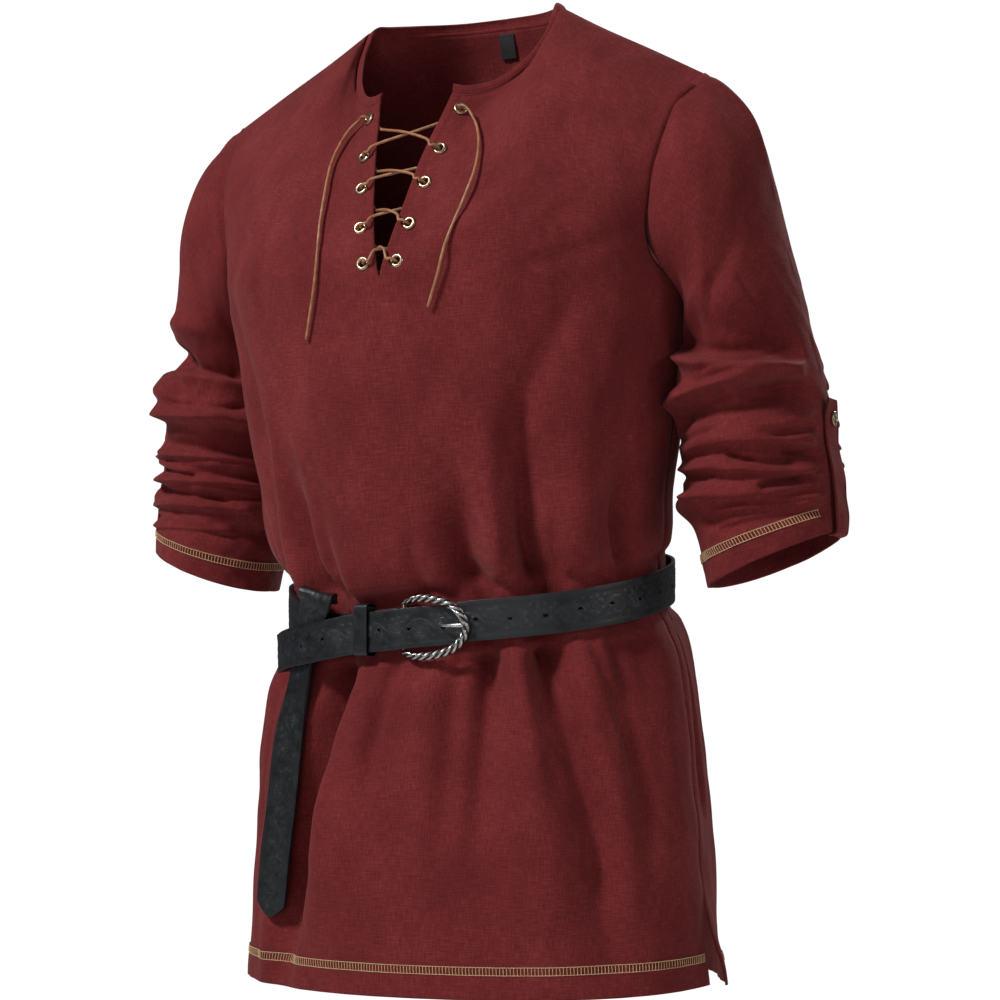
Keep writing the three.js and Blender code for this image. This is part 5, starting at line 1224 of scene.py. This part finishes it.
# Keeper loop: a narrow strap round a rounded oblong, low and high off the waist, tall up and down
KEEPER_AT, KEEPER_BESIDE = np.array([-35.3, -87.25, 0]), np.array([-36.3, -87.1, 0])
keeper_along = unit(KEEPER_BESIDE - KEEPER_AT)
keeper_out = np.array([-keeper_along[1], keeper_along[0], 0])
keeper_z = float(body_point(-12.4, BELT_Z, 3.2)[2]) + 1
low, high, tall, corner = 0.7, 12.35, 19.35, 2.6
a = np.linspace(0, pi / 2, 7)
quarter = [np.stack([np.cos(a + k * pi / 2), np.sin(a + k * pi / 2)], -1) * corner for k in range(4)]
middles = [(high - corner, tall - corner), (low + corner, tall - corner),
           (low + corner, -tall + corner), (high - corner, -tall + corner)]
loop = np.vstack([q + m for q, m in zip(quarter, middles)])
loop = np.vstack([loop, loop[:1]])
loop = resample(np.hstack([loop, 0 * loop[:, :1]]), 1.3)
KEEPER_WIDTH = 12
w = np.linspace(-KEEPER_WIDTH / 2, KEEPER_WIDTH / 2, 11)
ring = (KEEPER_AT + (0, 0, keeper_z) + loop[:, None, :1] * keeper_out
        + loop[:, None, 1:2] * np.array([0, 0, 1.0]) + w[None, :, None] * keeper_along)
ids = grid_ids(ring)
ids[-1] = ids[0]
middle = KEEPER_AT + (0, 0, keeper_z) + keeper_out * 6
piece = write_piece("keeper_leather", ring, grid_quads(ids), away=middle)
add_wall(piece, 0.95, 0.0)
add_bevel(piece, 0.3)
finish_piece(piece, LEATHER, ["belt_keeper"])

# Buckle
# The buckle's ring: x, z, distance off the waist, radius
RING = np.array([
    (-3, -459, 3.8, 1.9), (4, -456.8, 5.7, 2.5), (13, -455.5, 8, 3.1), (24, -456.4, 9, 3.25),
    (35, -459, 9.2, 3.25), (44.5, -465.5, 9.2, 3.25), (49.6, -475, 9, 3.25), (48, -485.5, 9.2, 3.25),
    (40, -493.5, 9.2, 3.25), (28, -497.6, 9, 3.25), (16, -499, 9.4, 3.1), (6, -498.4, 7.6, 2.5),
    (-3, -495, 4.4, 1.9),
], float)
STRANDS, TWIST = 3, -20.0
BAR_X, BAR_TOP_Z, BAR_END_Z, BAR_OFF = -3, -459.0, -495.0, 3.6
PRONG_Z = -476.2


def rope(angle, run):
    """Three round strands laid side by side and twisted: the section's outline is the far side of
    the nearest strand."""
    step = 2 * pi / STRANDS
    a = angle - 2 * pi * run / TWIST
    a = a - step * np.round(a / step)
    middle, radius = 0.49, 0.51
    return middle * np.cos(a) + np.sqrt(np.maximum(radius ** 2 - (middle * np.sin(a)) ** 2, 0))


ring_places = np.hstack([waist_place(RING[:, 0], RING[:, 1], RING[:, 2]), RING[:, 3:]])
ring_curve = spline(ring_places, 30, even=False)
ring_curve = at_shares(ring_curve, np.linspace(0, 1, 260))
buckle = tube("buckle_rope", ring_curve[:, :3], ring_curve[:, 3] * 1.04, 36, rope, first=(0, -1, 0))
finish_piece(buckle, SILVER, ["buckle_ring"])
bar = np.linspace(waist_place(BAR_X, BAR_TOP_Z, BAR_OFF), waist_place(BAR_X, BAR_END_Z, BAR_OFF), 20)
finish_piece(tube("buckle_bar", bar, 1.4, 20, first=(0, -1, 0)), SILVER)
# The prong: x, distance off the waist
PRONG = np.array([(-0.6, 3), (5, 2.4), (14, 2), (22, 2), (26.4, 2.9), (28.6, 5.2), (30.6, 8.4), (34, 11.4),
                  (41, 13.4), (49.5, 13.8)], float)
prong_curve = spline(waist_place(PRONG[:, 0], PRONG_Z, PRONG[:, 1]), 10, even=False)
share = np.linspace(0, 1, len(prong_curve))
prong_radius = 1.2 + 0.5 * bump(share - 0.97, 0.08) - 0.15 * bump(share - 0.7, 0.15)
prong = tube("buckle_tongue", prong_curve, prong_radius, 18)
finish_piece(prong, SILVER, ["buckle_prong"])
eye = [(2.25 + 0.5 * cos(k * pi / 6), 2 * sin(k * pi / 6)) for k in range(12)]
eye_middle = waist_place(BAR_X, PRONG_Z, BAR_OFF)
finish_piece(turned("tongue_eye", eye, eye_middle, (0, 0, 1), 28), SILVER)
leaf_places = [(36, -461.6, 9.6), (42, -465.4, 11), (46.4, -470, 11.6), (49.3, -474.9, 12)]
leaf = spline([waist_place(*place) for place in leaf_places], 12)
leaf_radius = 0.4 + 0.85 * np.sin(pi * 0.6 * np.linspace(0, 1, len(leaf)))
finish_piece(tube("buckle_leaf", leaf, leaf_radius, 14, first=(0, -1, 0)), SILVER)

# Label
width, height, thick, back_y, middle_z, lean = 13, 20, 0.7, 77.6, -3, radians(17.6)
u, v = np.meshgrid(np.linspace(-1, 1, 15), np.linspace(-1, 1, 21))
across, up = u * width / 2, v * height / 2
curl = 0.25 * (u ** 2 - 0.3) + 0.3 * np.cos(v * 2)
points = xyz(across, back_y - curl * cos(lean) - up * sin(lean),
             middle_z + up * cos(lean) - curl * sin(lean))
piece = write_piece("neck_label", points, grid_quads(grid_ids(points)),
                    away=(points + (0, 9, 0)).reshape(-1, 3))
add_wall(piece, thick)
add_bevel(piece, 0.2)
finish_piece(piece, LABEL, ["size_label"])

# Ladder stitching


def ladder(name, low, high, out, pitch=2.6):
    """Cover stitching between two lines on the cloth: each line a row of plump stitches, and a
    rung across at every stitch. Built as one mesh of thin tubes."""
    points, quads, count = [], [], 0
    rungs = int(lengths((low + high) / 2)[-1] / pitch)
    per_stitch, sides, rung_rows = 4, 5, 5
    angles = np.linspace(0, 2 * pi, sides + 1)[:-1]
    for line, lean in ((low, 0.0), (high, 0.5)):
        n = rungs * per_stitch
        share = np.linspace(0, 1, n)
        path = at_shares(np.hstack([line, out]), share)
        path, up = path[:, :3], unit(path[:, 3:])
        stitch = np.abs(np.sin(pi * (share * rungs + lean)))[:, None]
        side = unit(np.cross(unit(np.gradient(path, axis=0)), up))
        path = path + up * (0.12 + 0.28 * stitch)
        rings = path[:, None] + (0.2 + 0.16 * stitch)[..., None] * round_ways(angles, side, up)
        points.append(rings.reshape(-1, 3))
        quads.append(grid_quads(closed(grid_ids(rings) + count)))
        count += n * sides
    share = (np.arange(rungs) + 0.5) / rungs
    a, b = (at_shares(np.hstack([line, out]), share) for line in (low, high))
    up = unit(a[:, 3:])
    a, b = a[:, None, :3], b[:, None, :3]
    t = np.linspace(0.02, 0.98, rung_rows)[:, None]
    path = a + (b - a) * t + up[:, None] * (0.15 + 0.35 * np.sin(pi * t))
    side = unit(np.cross(unit((b - a)[:, 0]), up))
    rings = path[:, :, None] + 0.27 * round_ways(angles, side, up)[:, None]
    ids = np.arange(rungs * rung_rows * sides).reshape(rungs, rung_rows, sides) + count
    quads += [grid_quads(closed(own)) for own in ids]
    points.append(rings.reshape(-1, 3))
    piece = write_piece(name, np.vstack(points), np.vstack(quads)[:, ::-1])
    return finish_piece(piece, THREAD)


def body_line(turns, height, back):
    """A line on the hem of the front or back cloth, a little proud of it."""
    z = np.full(len(turns), float(height))
    p = body_point(turns, z, cloth_relief(turns, z) + 0.4)
    edge, opened = side_edge(turns, z, back)
    open_slit(p, edge, opened, back, 1.8 * opened)
    return p


for face, middle in (("front", 0), ("back", 180)):
    turns = np.linspace(-88.6, 88.6, 500) + middle
    low_line, high_line = (body_line(turns, HEM_Z + rise, middle > 0) for rise in (18.2, 23.8))
    out = unit((low_line - (0, 18, 0)) * (1, 1, 0) * (0.43, 1, 1))
    ladder(f"hem_stitching_{face}", low_line, high_line, out)
for side, sign in (("left", 1), ("right", -1)):
    turns = np.linspace(26, 334, 400)
    low_line, high_line = (sleeve_point(side, turns, LAST_RING - up, 0.15) for up in (0.5, 0.665))
    middle = low_line.mean(axis=0)
    out = unit((low_line - middle) * (1, 1, 0))
    ladder(f"cuff_stitching_{side}", low_line * (sign, 1, 1), high_line * (sign, 1, 1), out * (sign, 1, 1))

# Floor and light; the camera sees the floor and the world as plain white
SEEN_WHITE = 1.05
floor_mesh = bpy.data.meshes.new("floor")
reach, floor_z = 30, -1.2
corners = [(x * reach, y * reach, floor_z) for x, y in ((-1, -1), (1, -1), (1, 1), (-1, 1))]
floor_mesh.from_pydata(corners, [], [(0, 1, 2, 3)])
floor = bpy.data.objects.new("floor", floor_mesh)
bpy.context.collection.objects.link(floor)
floor_look = Finish("pale_floor", Roughness=0.9, Base_Color=(0.85, 0.85, 0.85, 1))
seen = floor_look.node("LightPath").outputs["Is Camera Ray"]
glow = floor_look.node("Emission", {"Color": (1, 1, 1, 1), "Strength": SEEN_WHITE}).outputs[0]
either = floor_look.node("MixShader", {0: seen, 1: floor_look.shader.outputs[0], 2: glow})
floor_look.tree.links.new(either.outputs[0], floor_look.tree.nodes["Material Output"].inputs["Surface"])
floor.data.materials.append(floor_look.material)


def lamp(name, place, aim, size, power):
    data = bpy.data.lights.new(name, "AREA")
    data.shape = "DISK"
    data.size = size
    data.energy = power
    light = bpy.data.objects.new(name, data)
    light.location = place
    light.rotation_euler = (Vector(aim) - Vector(place)).to_track_quat("-Z", "Y").to_euler()
    bpy.context.collection.objects.link(light)


lamp("key", (-1.25, -2.3, 2.0), (0, 0, -0.4), 0.7, 88)
lamp("side", (2.9, -0.6, 0.5), (0, 0, -0.4), 1.0, 11)
lamp("back", (0.4, 2.6, 1.5), (0, 0, -0.35), 1.2, 34)
lamp("front", (0.9, -3.0, 0.1), (0, 0, -0.4), 1.6, 6)
world = bpy.data.worlds.new("studio")
world.use_nodes = True
nodes, links = world.node_tree.nodes, world.node_tree.links
sky = nodes["Background"]
sky.inputs["Color"].default_value = (1, 1, 1, 1)
sky.inputs["Strength"].default_value = 0.065
white = nodes.new("ShaderNodeBackground")
white.inputs["Color"].default_value = (1, 1, 1, 1)
white.inputs["Strength"].default_value = SEEN_WHITE
rays, either = nodes.new("ShaderNodeLightPath"), nodes.new("ShaderNodeMixShader")
for k, source in enumerate((rays.outputs["Is Camera Ray"], sky.outputs[0], white.outputs[0])):
    links.new(source, either.inputs[k])
links.new(either.outputs[0], nodes["World Output"].inputs["Surface"])
bpy.context.scene.world = world
